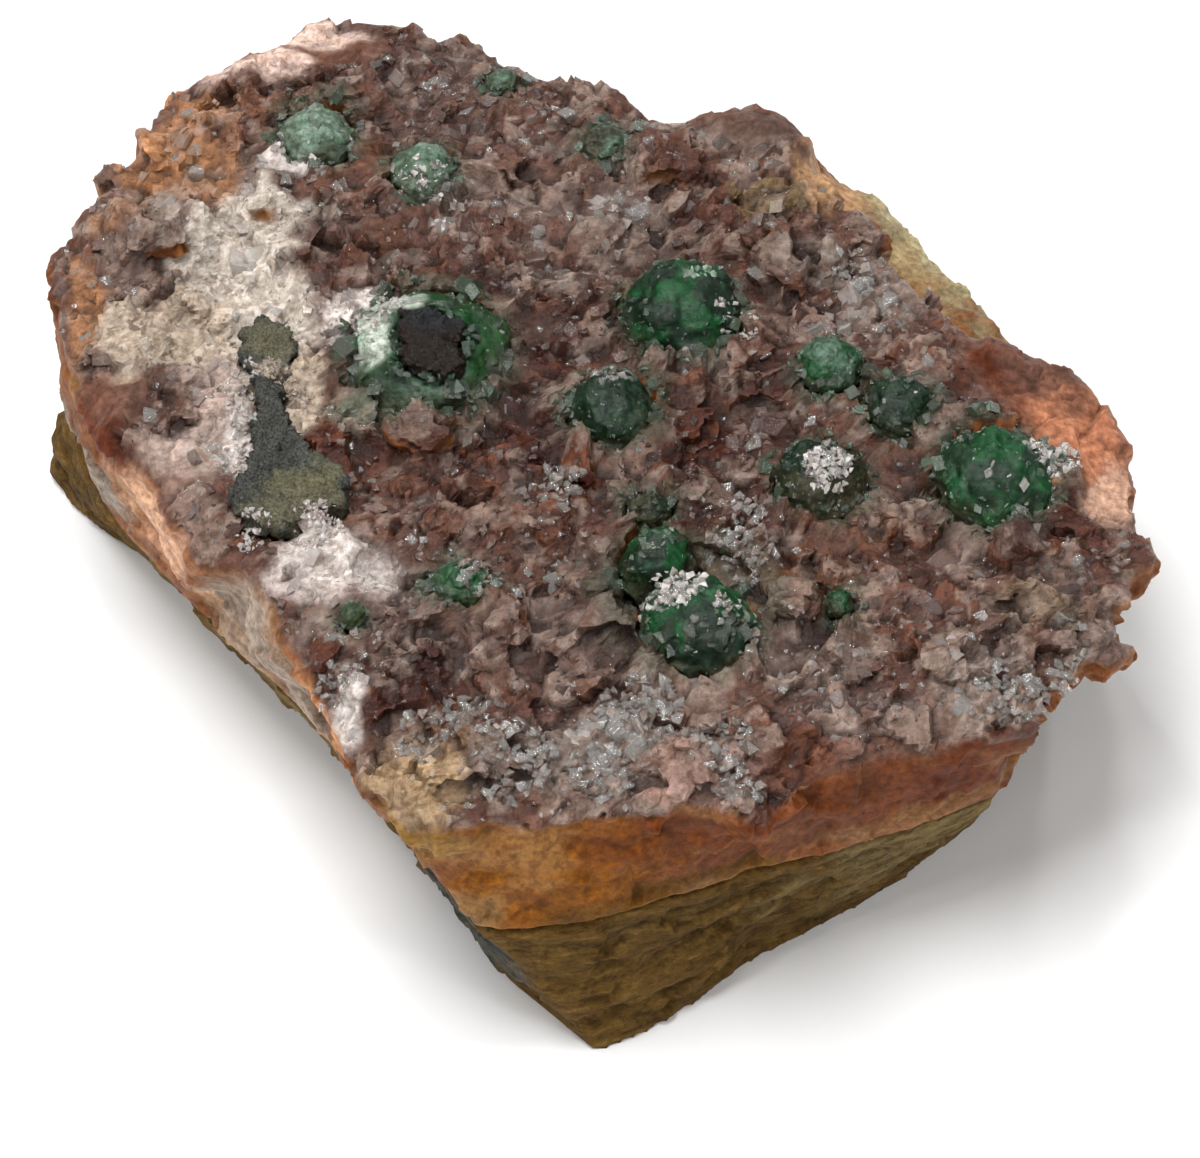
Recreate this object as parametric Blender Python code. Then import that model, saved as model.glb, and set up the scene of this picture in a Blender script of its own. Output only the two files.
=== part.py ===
# Hand specimen of pink dolomite with malachite balls on olive wall rock.
# Units are metres in Blender; every figure below is in millimetres and goes through MM.
# +Z is up, the specimen rests on z = 0, and its sharp corner points to -Y.

import math
import random

import bmesh
import bpy
from mathutils import Matrix, Vector, noise
from mathutils.geometry import delaunay_2d_cdt, intersect_point_line

MM = 0.001
GAP = 0.3  # air between neighbouring pieces
CONTACT_Z = 13.6  # height of the seam between wall rock and dolomite at x = 0
CONTACT_TILT = 0.02  # rise of the seam per millimetre of x
RIM_Z = 25.0  # height of the dolomite's upper edge
RHOMB_FLATTENING = 0.68  # squeeze along the long diagonal that turns a cube into a dolomite rhomb

# Each station goes round the specimen, anticlockwise seen from above, from the left end.
# It holds the rim (x, y), the seam (x, y), the foot (x, y), and how far the dolomite's middle swells out.
STATIONS = (
    ((-39.7, 10.6), (-39.8, 12.8), (-42.5, 14.5), 0.5),
    ((-38.5, 4.3), (-38.7, 7.6), (-40.8, 11.5), 0.5),
    ((-36.8, -0.9), (-37.6, 2.9), (-38.4, 9.0), 0.4),
    ((-33.5, -4.9), (-34.9, -2.3), (-34.6, 6.2), 0.3),
    ((-27.9, -11.9), (-30.3, -8.4), (-30.8, 2.5), 0.3),
    ((-24.8, -15.2), (-27.8, -11.4), (-26.5, -3.5), 0.2),
    ((-22.4, -17.7), (-25.5, -14.4), (-22.5, -8.5), 0.2),
    ((-19.9, -24.4), (-21.5, -19.0), (-19.6, -11.8), 0.1),
    ((-18.2, -27.7), (-18.7, -22.8), (-17.0, -15.5), 0.0),
    ((-16.4, -33.3), (-14.4, -28.8), (-9.8, -26.5), 0.0),
    ((-14.8, -35.8), (-10.0, -35.6), (-4.4, -36.0), 0.0),
    ((-13.2, -37.8), (-6.6, -41.2), (2.0, -42.6), 0.0),
    ((-8.7, -38.2), (-2.8, -41.5), (3.8, -41.8), 0.3),
    ((-3.7, -39.3), (1.0, -40.7), (5.6, -40.9), 0.4),
    ((2.0, -38.8), (4.9, -39.4), (7.8, -39.4), 0.4),
    ((6.3, -38.2), (9.3, -38.0), (10.6, -37.1), 0.5),
    ((11.6, -37.8), (13.0, -36.3), (14.1, -33.9), 0.4),
    ((16.3, -35.5), (16.7, -35.4), (17.6, -31.8), 0.4),
    ((23.7, -32.2), (22.7, -33.4), (22.4, -28.8), 0.8),
    ((27.5, -32.0), (27.2, -31.6), (26.4, -25.4), 0.5),
    ((30.9, -31.9), (31.6, -29.4), (30.2, -21.8), 0.3),
    ((35.0, -29.1), (34.5, -22.6), (32.8, -17.6), 0.0),
    ((38.6, -24.0), (37.4, -17.5), (34.8, -13.0), 0.0),
    ((40.9, -20.1), (39.8, -13.6), (36.6, -8.5), 0.0),
    ((42.3, -15.8), (41.4, -8.8), (38.0, -4.0), 0.0),
    ((42.3, -11.9), (41.8, -4.6), (38.8, 0.0), 0.2),
    ((42.8, -4.2), (42.0, 1.0), (39.2, 4.0), 0.6),
    ((40.8, 1.0), (40.4, 5.8), (38.0, 8.0), 0.8),
    ((36.6, 5.2), (37.2, 11.0), (35.4, 12.2), 0.8),
    ((31.5, 7.2), (33.2, 17.2), (32.0, 18.0), 0.4),
    ((29.0, 9.2), (31.4, 20.6), (30.4, 22.0), 0.0),
    ((26.0, 13.6), (29.5, 23.6), (28.6, 26.0), 0.0),
    ((23.9, 16.5), (26.9, 28.6), (26.0, 30.0), 0.0),
    ((21.1, 22.2), (24.9, 31.2), (24.0, 32.0), 0.0),
    ((19.3, 27.4), (22.0, 32.4), (21.0, 33.5), 0.3),
    ((18.4, 32.0), (18.6, 34.0), (17.0, 33.5), 0.6),
    ((15.2, 33.4), (14.6, 34.6), (13.0, 33.0), 0.6),
    ((10.0, 31.4), (9.8, 33.6), (9.0, 31.5), 0.3),
    ((6.2, 31.0), (6.0, 32.8), (5.0, 30.5), 0.2),
    ((4.0, 33.3), (2.6, 34.4), (1.5, 32.0), 0.3),
    ((-2.4, 36.2), (-2.4, 36.4), (-3.5, 34.5), 0.4),
    ((-6.1, 38.0), (-6.4, 37.8), (-8.0, 36.0), 0.5),
    ((-10.2, 39.6), (-10.6, 39.0), (-12.0, 37.2), 0.5),
    ((-14.7, 42.7), (-15.0, 41.0), (-16.0, 38.0), 0.6),
    ((-18.8, 43.1), (-19.6, 41.2), (-20.5, 38.2), 0.6),
    ((-23.2, 41.0), (-24.6, 39.2), (-25.0, 36.6), 0.6),
    ((-28.3, 37.5), (-29.4, 36.6), (-29.5, 34.2), 0.5),
    ((-32.5, 33.1), (-33.2, 32.4), (-33.5, 31.4), 0.4),
    ((-33.9, 29.7), (-35.0, 28.6), (-36.0, 28.0), 0.4),
    ((-35.3, 25.2), (-36.8, 24.4), (-38.5, 24.2), 0.4),
    ((-38.6, 20.8), (-38.8, 20.4), (-41.0, 20.5), 0.4),
    ((-40.0, 15.4), (-40.2, 16.6), (-42.6, 17.4), 0.5),
)
LEDGE_STATIONS = range(29, 35)  # where the vein's lower layer steps out past the rim

VEIN_LEVELS = (0.0, 0.28, 0.55, 0.8, 1.0)  # rings of the vein, as shares of the way from seam to rim
LEDGE_LEVELS = (0.0, 0.12, 0.75, 0.9, 1.0)  # how far each ring leans to the rim where the ledge steps out
ROCK_LEDGES = (  # rings of the wall rock: share of its height, step outwards in millimetres
    (0.0, 0.0), (0.06, 0.0), (0.24, -0.25), (0.27, 0.2), (0.5, -0.1), (0.53, -0.45), (0.76, 0.1),
    (0.8, -0.2), (1.0, 0.1),
)
ROCK_GRAIN = 0.7  # how far the wall rock's sides waver
VEIN_GRAIN = 0.55  # how far the vein's sides waver
EDGE_GRAIN = 0.35  # how far the vein's upper and lower edges waver
FLAT_SPACING = 12.0  # between the points of the flat faces

# Malachite balls: centre (x, y, z) and half sizes (x, y, z).
BALLS = (
    ((8.5, 8.5, 25.4), (5.0, 5.0, 4.7)),
    ((-11.0, 5.0, 24.8), (6.9, 6.5, 4.2)),
    ((9.4, -22.8, 25.0), (4.7, 4.6, 4.5)),
    ((32.0, -8.4, 25.2), (4.9, 4.9, 4.4)),
    ((19.9, 3.2, 25.6), (2.7, 2.7, 2.8)),
    ((25.1, -1.1, 25.5), (3.1, 3.1, 3.0)),
    ((18.9, -8.5, 25.4), (3.9, 3.7, 3.8)),
    ((3.1, -1.4, 25.3), (3.9, 3.8, 3.7)),
    ((-8.0, -18.6, 25.6), (2.5, 2.2, 2.2)),
    ((-20.3, 28.2, 25.2), (3.5, 3.2, 2.8)),
    ((-11.8, 24.2, 25.2), (2.9, 3.0, 2.6)),
    ((6.0, -11.2, 25.4), (1.8, 1.7, 1.8)),
    ((19.9, -20.4, 25.8), (1.2, 1.2, 1.2)),
    ((-16.0, -21.5, 25.7), (1.1, 1.1, 1.1)),
    ((-5.6, 34.4, 25.5), (1.4, 1.3, 1.3)),
    ((2.8, 27.2, 25.3), (2.4, 2.2, 2.0)),
)
TWIN_BALL = 2  # index of the ball that has grown together with a second one
TWIN = ((6.5, -16.6, 25.6), (3.1, 2.9, 3.1))
BROKEN_BALL = 1  # index of the ball whose dark heart shows
BALL_SEED = 100
KNOBS = 0.11  # how deep the hollows between a ball's knobs go, as a share of its size
LARGE_BALL = 4.5  # half size above which a ball gets the finer facets

# Outlines of the two dark pieces in the crust, anticlockwise seen from above.
SLIVER = (
    (-25.3, 6.7), (-25.4, 4.6), (-24.9, 2.8), (-23.8, 1.3), (-23.8, -1.1), (-23.9, -4.1), (-24.3, -7.4),
    (-25.5, -10.0), (-24.9, -11.8), (-22.8, -12.8), (-20.4, -13.3), (-18.8, -11.6), (-17.1, -11.3),
    (-16.6, -9.2), (-17.2, -7.4), (-19.7, -5.7), (-21.3, -3.1), (-22.1, -0.6), (-22.2, 1.6), (-21.6, 2.8),
    (-21.2, 5.1), (-21.9, 7.4), (-24.1, 7.6),
)
SLIVER_HEIGHTS = (24.4, 26.6)
CORE = (
    (-12.6, 6.6), (-13.3, 4.8), (-12.7, 3.3), (-13.0, 1.8), (-11.3, 0.7), (-9.5, 0.2), (-8.0, 1.0),
    (-8.6, 2.7), (-8.1, 4.8), (-9.1, 6.2), (-10.9, 6.8),
)
CORE_HEIGHTS = (27.2, 28.7)

TOP_SPACING = 5.6  # between the points of the dolomite's upper face
ROW_RATIO = 0.87  # distance of staggered rows, as a share of the spacing in a row
RHOMB_SPACING = 6.1
RHOMB_SHIFT = 0.3  # how far a rhomb is off its place in the rows, as a share of the spacing
RHOMB_SIZES = (4.0, 6.4)
RHOMB_SINK = 0.32  # how deep a rhomb's centre lies, as a share of its size
RHOMB_RISE = (-0.7, 0.5)  # and how much lower or higher than that
BALL_MARGIN = 0.6  # no rhomb's centre comes closer to a ball
SLIVER_MARGIN = 1.6  # rhombs closer than this to the dark sliver are small ones
SMALL_RHOMB = 2.8  # size of the rhombs close to the dark sliver
CRUST_REACH = 46.0  # half the side of the square that the rhombs are laid out over
CUTTER_REACH = 6.0  # how far a pocket's cutter stands above the piece that lies in the pocket
SOCKET_SPARE = (0.02, 0.09)  # a socket's extra size as a share of the ball's, for large and for small balls
PLATE_BEVEL = 0.25  # the foot of a dark piece is drawn in by this
PLATE_BUMPS = 0.5  # how uneven a dark piece's top is
SHORTEST_EDGE = 0.02  # edges below this are closed up after a Boolean

# Colour and roughness of each kind of piece.
WALL_ROCK = ((0.19, 0.16, 0.10), 0.85)
DOLOMITE = ((0.50, 0.33, 0.29), 0.45)
DARK_WALL_ROCK = ((0.07, 0.08, 0.07), 0.7)
DARK_CORE = ((0.03, 0.02, 0.02), 0.35)
MALACHITE = ((0.03, 0.22, 0.10), 0.35)


def clear_scene():
    for thing in list(bpy.data.objects):
        bpy.data.objects.remove(thing, do_unlink=True)


def collection(name, hidden=False):
    made = bpy.data.collections.new(name)
    made.hide_render = hidden
    bpy.context.scene.collection.children.link(made)
    return made


def place(name, body, home):
    """Turns a bmesh in millimetres into an object in metres."""
    bmesh.ops.scale(body, vec=(MM, MM, MM), verts=body.verts)
    mesh = bpy.data.meshes.new(name)
    body.to_mesh(mesh)
    body.free()
    thing = bpy.data.objects.new(name, mesh)
    home.objects.link(thing)
    return thing


def hide(thing):
    thing.hide_render = True
    thing.display_type = "WIRE"
    return thing


def paint(thing, name, look):
    colour, roughness = look
    material = bpy.data.materials.new(name)
    material.use_nodes = True
    shader = material.node_tree.nodes["Principled BSDF"]
    shader.inputs["Base Color"].default_value = (*colour, 1.0)
    shader.inputs["Roughness"].default_value = roughness
    thing.data.materials.clear()
    thing.data.materials.append(material)


def seam_height(x):
    return CONTACT_Z + CONTACT_TILT * x


def mix(a, b, share):
    return tuple(p + (q - p) * share for p, q in zip(a, b))


def doubled(stations):
    """The stations with one more between each two, so that the sides show small breaks."""
    out = []
    for here, following in zip(stations, stations[1:] + stations[:1]):
        out.append(here)
        out.append(tuple(mix(here[k], following[k], 0.5) for k in range(3)) + ((here[3] + following[3]) / 2,))
    return out


def outward(ring, i):
    """The horizontal direction that leaves the ring at point i."""
    along = Vector(ring[(i + 1) % len(ring)]) - Vector(ring[i - 1])
    return Vector((along.y, -along.x)).normalized()


def rough(x, y, z, scale, seed):
    """Smooth noise from -1 to 1 with a feature size of about scale millimetres."""
    return noise.noise(Vector((x / scale + seed, y / scale, z / scale)))


def loft(body, rings):
    """Joins rings of the same number of points with quads cut into triangles."""
    levels = [[body.verts.new(point) for point in ring] for ring in rings]
    count = len(levels[0])
    for low, high in zip(levels, levels[1:]):
        for i in range(count):
            j = (i + 1) % count
            body.faces.new((low[i], low[j], high[j]))
            body.faces.new((low[i], high[j], high[i]))
    return levels


def jittered(low, high, spacing, jitter, dice):
    """Places over a rectangle in staggered rows, each shifted by up to jitter times spacing."""
    spots = []
    for row in range(int((high[1] - low[1]) / (spacing * ROW_RATIO)) + 1):
        for column in range(int((high[0] - low[0]) / spacing) + 1):
            x = low[0] + (column + 0.5 * (row % 2)) * spacing + dice.uniform(-jitter, jitter) * spacing
            y = low[1] + row * spacing * ROW_RATIO + dice.uniform(-jitter, jitter) * spacing
            spots.append((x, y))
    return spots


def cap(body, ring_verts, height, spacing, facing, margin=1.2):
    """Fills a ring with triangles over a jittered grid whose heights come from the given function."""
    edge = [Vector((v.co.x, v.co.y)) for v in ring_verts]
    inside = []
    if spacing:
        low = (min(p.x for p in edge), min(p.y for p in edge))
        high = (max(p.x for p in edge), max(p.y for p in edge))
        for spot in jittered(low, high, spacing, 0.25, random.Random(7)):
            if within(spot, edge) and border_distance(spot, edge) > margin:
                inside.append(Vector(spot))
    count = len(edge)
    loop = [(i, (i + 1) % count) for i in range(count)]
    points, _, faces, origins, _, _ = delaunay_2d_cdt(edge + inside, loop, [], 1, 1e-5)
    verts = []
    for place_2d, origin in zip(points, origins):
        index = origin[0] if origin else None
        if index is not None and index < count:
            verts.append(ring_verts[index])
        else:
            x, y = place_2d
            verts.append(body.verts.new((x, y, height(x, y))))
    for face in faces:
        corners = [verts[i] for i in face]
        body.faces.new(corners if facing > 0 else corners[::-1])


def within(point, outline):
    x, y = point
    found = False
    for a, b in zip(outline, outline[1:] + outline[:1]):
        if (a[1] > y) != (b[1] > y) and x < (b[0] - a[0]) * (y - a[1]) / (b[1] - a[1]) + a[0]:
            found = not found
    return found


def border_distance(point, outline):
    here = Vector((point[0], point[1], 0.0))
    nearest = 1e9
    for a, b in zip(outline, outline[1:] + outline[:1]):
        start = Vector((a[0], a[1], 0.0))
        end = Vector((b[0], b[1], 0.0))
        foot, share = intersect_point_line(here, start, end)
        share = min(1.0, max(0.0, share))
        nearest = min(nearest, (here - start.lerp(end, share)).length)
    return nearest


def ball_reach(x, y):
    """How far the point is outside the nearest malachite ball, in millimetres."""
    return min(math.hypot(x - c[0], y - c[1]) - max(r[0], r[1]) for c, r in BALLS + (TWIN,))


def top_height(x, y):
    """The dolomite's upper surface before the rhombs are added."""
    swell = 1.0 * rough(x, y, 0.0, 14.0, 3.0) + 0.9 * rough(x, y, 0.0, 5.0, 9.0)
    return RIM_Z + 0.3 + swell


def wall_rock(stations, home):
    """Foliated host rock: thin ledges step in and out between the flat foot and the seam."""
    body = bmesh.new()
    foot = [s[2] for s in stations]
    seam = [s[1] for s in stations]
    rings = []
    for share, step in ROCK_LEDGES:
        ring = []
        for i, (low, high) in enumerate(zip(foot, seam)):
            x, y = mix(low, high, share)
            top = seam_height(high[0]) - GAP / 2
            away = outward(foot, i)
            grain = ROCK_GRAIN * rough(x, y, share * 14.0, 4.0, 5.0)
            push = step + grain
            z = top * share
            if share == 0.0:
                push = 0.0
            elif share == 1.0:
                push = 0.2 * grain
            else:
                z += 0.5 * rough(x, y, 2.0, 9.0, 21.0)
            ring.append((x + away.x * push, y + away.y * push, z))
        rings.append(ring)
    levels = loft(body, rings)
    cap(body, levels[0], lambda x, y: 0.0, FLAT_SPACING, -1, 3.0)
    cap(body, levels[-1], lambda x, y: seam_height(x) - GAP / 2, FLAT_SPACING, 1, 3.0)
    return place("wall_rock", body, home)


def dolomite_block(stations, home):
    """The vein between the seam and the crust, without its rhombs."""
    body = bmesh.new()
    rings = []
    for share, ledge_share in zip(VEIN_LEVELS, LEDGE_LEVELS):
        ring = []
        for i, (rim, seam, _, swell) in enumerate(stations):
            x, y = mix(seam, rim, ledge_share if i // 2 in LEDGE_STATIONS else share)
            away = outward([s[0] for s in stations], i)
            push = swell * math.sin(math.pi * share) + VEIN_GRAIN * rough(x, y, share * 11.0, 5.0, 1.0)
            if share in (0.0, 1.0):
                push = EDGE_GRAIN * rough(x, y, share * 11.0, 3.0, 1.0)
            low = seam_height(seam[0]) + GAP / 2
            high = RIM_Z - 0.4 + 0.5 * rough(x, y, 0.0, 7.0, 4.0)
            z = low + (high - low) * share
            if share == 0.0:
                z = seam_height(x + away.x * push) + GAP / 2
            ring.append((x + away.x * push, y + away.y * push, z))
        rings.append(ring)
    levels = loft(body, rings)
    cap(body, levels[0], lambda x, y: seam_height(x) + GAP / 2, FLAT_SPACING, -1, 3.0)
    cap(body, levels[-1], top_height, TOP_SPACING, 1)
    return place("dolomite_vein", body, home)


def add_rhomb(body, centre, size, turn):
    """One dolomite rhomb: a cube squeezed along a long diagonal."""
    diagonal = Vector((1.0, 1.0, 1.0)).normalized()
    squeeze = Matrix.Scale(RHOMB_FLATTENING, 3, diagonal)
    made = bmesh.ops.create_cube(body, size=size)
    shape = turn.to_3x3() @ squeeze
    for vert in made["verts"]:
        vert.co = shape @ vert.co + Vector(centre)


def random_turn(dice):
    return (
        Matrix.Rotation(dice.uniform(0.0, 2.0 * math.pi), 4, "Z")
        @ Matrix.Rotation(math.acos(dice.uniform(-1.0, 1.0)), 4, "X")
        @ Matrix.Rotation(dice.uniform(0.0, 2.0 * math.pi), 4, "Z")
    )


def rhomb_crust(stations):
    """All the larger rhombs of the druse in one mesh; they overlap each other and the block."""
    dice = random.Random(11)
    rim = [s[0] for s in stations]
    body = bmesh.new()
    columns = int(2 * CRUST_REACH / RHOMB_SPACING)
    rows = int(2 * CRUST_REACH / (RHOMB_SPACING * ROW_RATIO)) + 1
    for row in range(rows):
        for column in range(columns):
            x = column + 0.5 * (row % 2) + dice.uniform(-RHOMB_SHIFT, RHOMB_SHIFT)
            y = row * ROW_RATIO + dice.uniform(-RHOMB_SHIFT, RHOMB_SHIFT)
            spot = (x * RHOMB_SPACING - CRUST_REACH, y * RHOMB_SPACING - CRUST_REACH)
            size = dice.uniform(*RHOMB_SIZES)
            turn = random_turn(dice)
            rise = dice.uniform(*RHOMB_RISE) - RHOMB_SINK * size
            if not within(spot, rim) or border_distance(spot, rim) < 0.5 * size:
                continue
            if ball_reach(*spot) < BALL_MARGIN or within(spot, SLIVER):
                continue
            if border_distance(spot, SLIVER) < SLIVER_MARGIN:
                size = SMALL_RHOMB
            add_rhomb(body, (*spot, top_height(*spot) + rise), size, turn)
    return body


def ball(shape, seed, grow=0.0):
    """A knobbly ball; grow makes the matching cutter for its socket."""
    centre, half = shape
    dice = random.Random(seed)
    body = bmesh.new()
    bmesh.ops.create_icosphere(body, subdivisions=3 if half[0] > LARGE_BALL else 2, radius=1.0)
    for vert in body.verts:
        knob = 1.0 if grow else 1.0 - dice.uniform(0.0, KNOBS)
        for axis in range(3):
            vert.co[axis] = vert.co[axis] * knob * (half[axis] + grow) + centre[axis]
    return body


def plate(outline, heights, grow=0.0, bumps=0.0):
    """An upright plate with the given outline; grow makes the matching cutter."""
    body = bmesh.new()
    rings = []
    for height, bevel in zip(heights, (PLATE_BEVEL, 0.0)):
        ring = []
        for i, point in enumerate(outline):
            away = outward(outline, i) * (grow or -bevel)
            x = point[0] + away.x
            y = point[1] + away.y
            z = height + bumps * rough(x, y, height, 2.5, 2.0)
            ring.append((x, y, z))
        rings.append(ring)
    levels = loft(body, rings)
    cap(body, levels[0], lambda x, y: heights[0], 0.0, -1)
    top = heights[1]
    cap(body, levels[1], lambda x, y: top + bumps * rough(x, y, top, 2.5, 2.0), 2.2 if bumps else 0.0, 1, 0.5)
    return body


def boolean(thing, operation, operand):
    modifier = thing.modifiers.new(operation.lower(), "BOOLEAN")
    modifier.operation = operation
    modifier.solver = "EXACT"
    modifier.object = operand
    return modifier


def bake(thing):
    """Applies the modifiers and keeps only the largest loose piece of the result."""
    graph = bpy.context.evaluated_depsgraph_get()
    mesh = bpy.data.meshes.new_from_object(thing.evaluated_get(graph))
    thing.modifiers.clear()
    thing.data = mesh
    body = bmesh.new()
    body.from_mesh(mesh)
    bmesh.ops.remove_doubles(body, verts=body.verts, dist=SHORTEST_EDGE * MM)
    bmesh.ops.dissolve_degenerate(body, edges=body.edges, dist=SHORTEST_EDGE * MM)
    bmesh.ops.triangulate(body, faces=body.faces)
    left = set(body.verts)
    pieces = []
    while left:
        start = left.pop()
        piece = {start}
        queue = [start]
        while queue:
            for edge in queue.pop().link_edges:
                for vert in edge.verts:
                    if vert in left:
                        left.discard(vert)
                        piece.add(vert)
                        queue.append(vert)
        pieces.append(piece)
    largest = max(pieces, key=len)
    for piece in pieces:
        if piece is not largest:
            bmesh.ops.delete(body, geom=list(piece), context="VERTS")
    body.to_mesh(mesh)
    body.free()


def centre_on_origin(things):
    """Moves every vertex alike, so that the middle of the whole footprint is at x = y = 0."""
    xs = [v.co.x for thing in things for v in thing.data.vertices]
    ys = [v.co.y for thing in things for v in thing.data.vertices]
    shift = Matrix.Translation((-(min(xs) + max(xs)) / 2, -(min(ys) + max(ys)) / 2, 0.0))
    for thing in things:
        thing.data.transform(shift)


def main():
    clear_scene()
    parts = collection("dolomite_with_malachite")
    helpers = collection("helpers", hidden=True)
    stations = doubled(list(STATIONS))

    rock = wall_rock(list(STATIONS), parts)
    vein = dolomite_block(stations, parts)

    crust = hide(place("rhomb_crust", rhomb_crust(stations), helpers))
    union = boolean(vein, "UNION", crust)
    union.use_self = True
    bake(vein)

    for index, shape in enumerate(BALLS + (TWIN,)):
        half = max(shape[1])
        spare = SOCKET_SPARE[0] if half > LARGE_BALL else SOCKET_SPARE[1]
        socket = hide(place(f"socket_{index + 1:02d}", ball(shape, 0, GAP + spare * half), helpers))
        boolean(vein, "DIFFERENCE", socket)
    heights = (SLIVER_HEIGHTS[0] - GAP, SLIVER_HEIGHTS[1] + CUTTER_REACH)
    pocket = hide(place("sliver_pocket", plate(SLIVER, heights, GAP), helpers))
    boolean(vein, "DIFFERENCE", pocket)
    bake(vein)

    sliver = place("wall_rock_sliver", plate(SLIVER, SLIVER_HEIGHTS, 0.0, PLATE_BUMPS), parts)
    balls = []
    for i, shape in enumerate(BALLS):
        balls.append(place(f"malachite_ball_{i + 1:02d}", ball(shape, BALL_SEED + i), parts))
    boolean(balls[TWIN_BALL], "UNION", hide(place("twin", ball(TWIN, BALL_SEED - 1), helpers)))
    bake(balls[TWIN_BALL])
    core = place("dark_core", plate(CORE, CORE_HEIGHTS, 0.0, PLATE_BUMPS), parts)
    heights = (CORE_HEIGHTS[0] - GAP, CORE_HEIGHTS[1] + CUTTER_REACH)
    core_pocket = hide(place("core_pocket", plate(CORE, heights, GAP), helpers))
    boolean(balls[BROKEN_BALL], "DIFFERENCE", core_pocket)
    bake(balls[BROKEN_BALL])

    centre_on_origin([rock, vein, sliver, core] + balls)

    paint(rock, "wall_rock", WALL_ROCK)
    paint(vein, "dolomite", DOLOMITE)
    paint(sliver, "dark_wall_rock", DARK_WALL_ROCK)
    paint(core, "dark_core", DARK_CORE)
    for piece in balls:
        paint(piece, piece.name, MALACHITE)


main()
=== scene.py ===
# Looks of a hand specimen: pink dolomite with malachite balls on olive wall rock.
# Lengths are millimetres until a mesh is stored, where MM turns them into metres.

import math

import bmesh
import bpy
import numpy as np
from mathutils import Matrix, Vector
from mathutils.bvhtree import BVHTree


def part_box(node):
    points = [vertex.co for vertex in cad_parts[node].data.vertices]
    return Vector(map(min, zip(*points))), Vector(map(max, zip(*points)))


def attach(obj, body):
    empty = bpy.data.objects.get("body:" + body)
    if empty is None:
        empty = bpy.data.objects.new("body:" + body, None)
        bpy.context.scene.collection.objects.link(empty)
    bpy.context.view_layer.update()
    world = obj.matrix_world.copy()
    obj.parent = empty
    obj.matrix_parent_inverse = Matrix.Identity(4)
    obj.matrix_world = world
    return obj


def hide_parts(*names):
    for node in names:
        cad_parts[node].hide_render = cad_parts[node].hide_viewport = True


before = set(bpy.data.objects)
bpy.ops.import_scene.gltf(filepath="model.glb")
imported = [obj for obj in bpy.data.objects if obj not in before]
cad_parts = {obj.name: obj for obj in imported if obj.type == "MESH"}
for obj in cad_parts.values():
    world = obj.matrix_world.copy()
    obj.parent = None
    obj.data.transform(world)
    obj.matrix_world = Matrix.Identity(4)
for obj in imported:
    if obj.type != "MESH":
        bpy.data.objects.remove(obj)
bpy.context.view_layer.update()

MM = 0.001
WELD = 1e-4
RIM_Z = 25.0  # height of the dolomite's upper edge
SEAM_Z = 13.6  # height of the seam between wall rock and dolomite at x = 0
SEAM_TILT = 0.02  # rise of the seam per millimetre of x
RHOMB_FLATTENING = 0.68  # squeeze along the long diagonal that turns a cube into a dolomite rhomb

VEIN_VOXEL = 0.40
ROCK_VOXEL = 0.5
SLIVER_VOXEL = 0.2
CORE_VOXEL = 0.13

# The photograph's viewpoint
LOOK_AT = (2.0, -6.7, 12.0)
LOOK_DOWN = math.radians(50.0)
LOOK_FROM = 400.0
LENS = 154.8
SENSOR = 36.0

# Small lights round the stone that make its crystals glint, in metres and watts
SPARKLE_PLACES = (
    (0.20, 0.42, 0.45),
    (-0.42, 0.12, 0.36),
    (0.45, -0.05, 0.40),
    (-0.15, 0.50, 0.30),
    (0.05, 0.25, 0.55),
    (0.32, -0.35, 0.45),
    (-0.35, -0.30, 0.45),
)
SPARKLE_SIZE = 0.05
SPARKLE_POWER = 0.42

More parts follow.
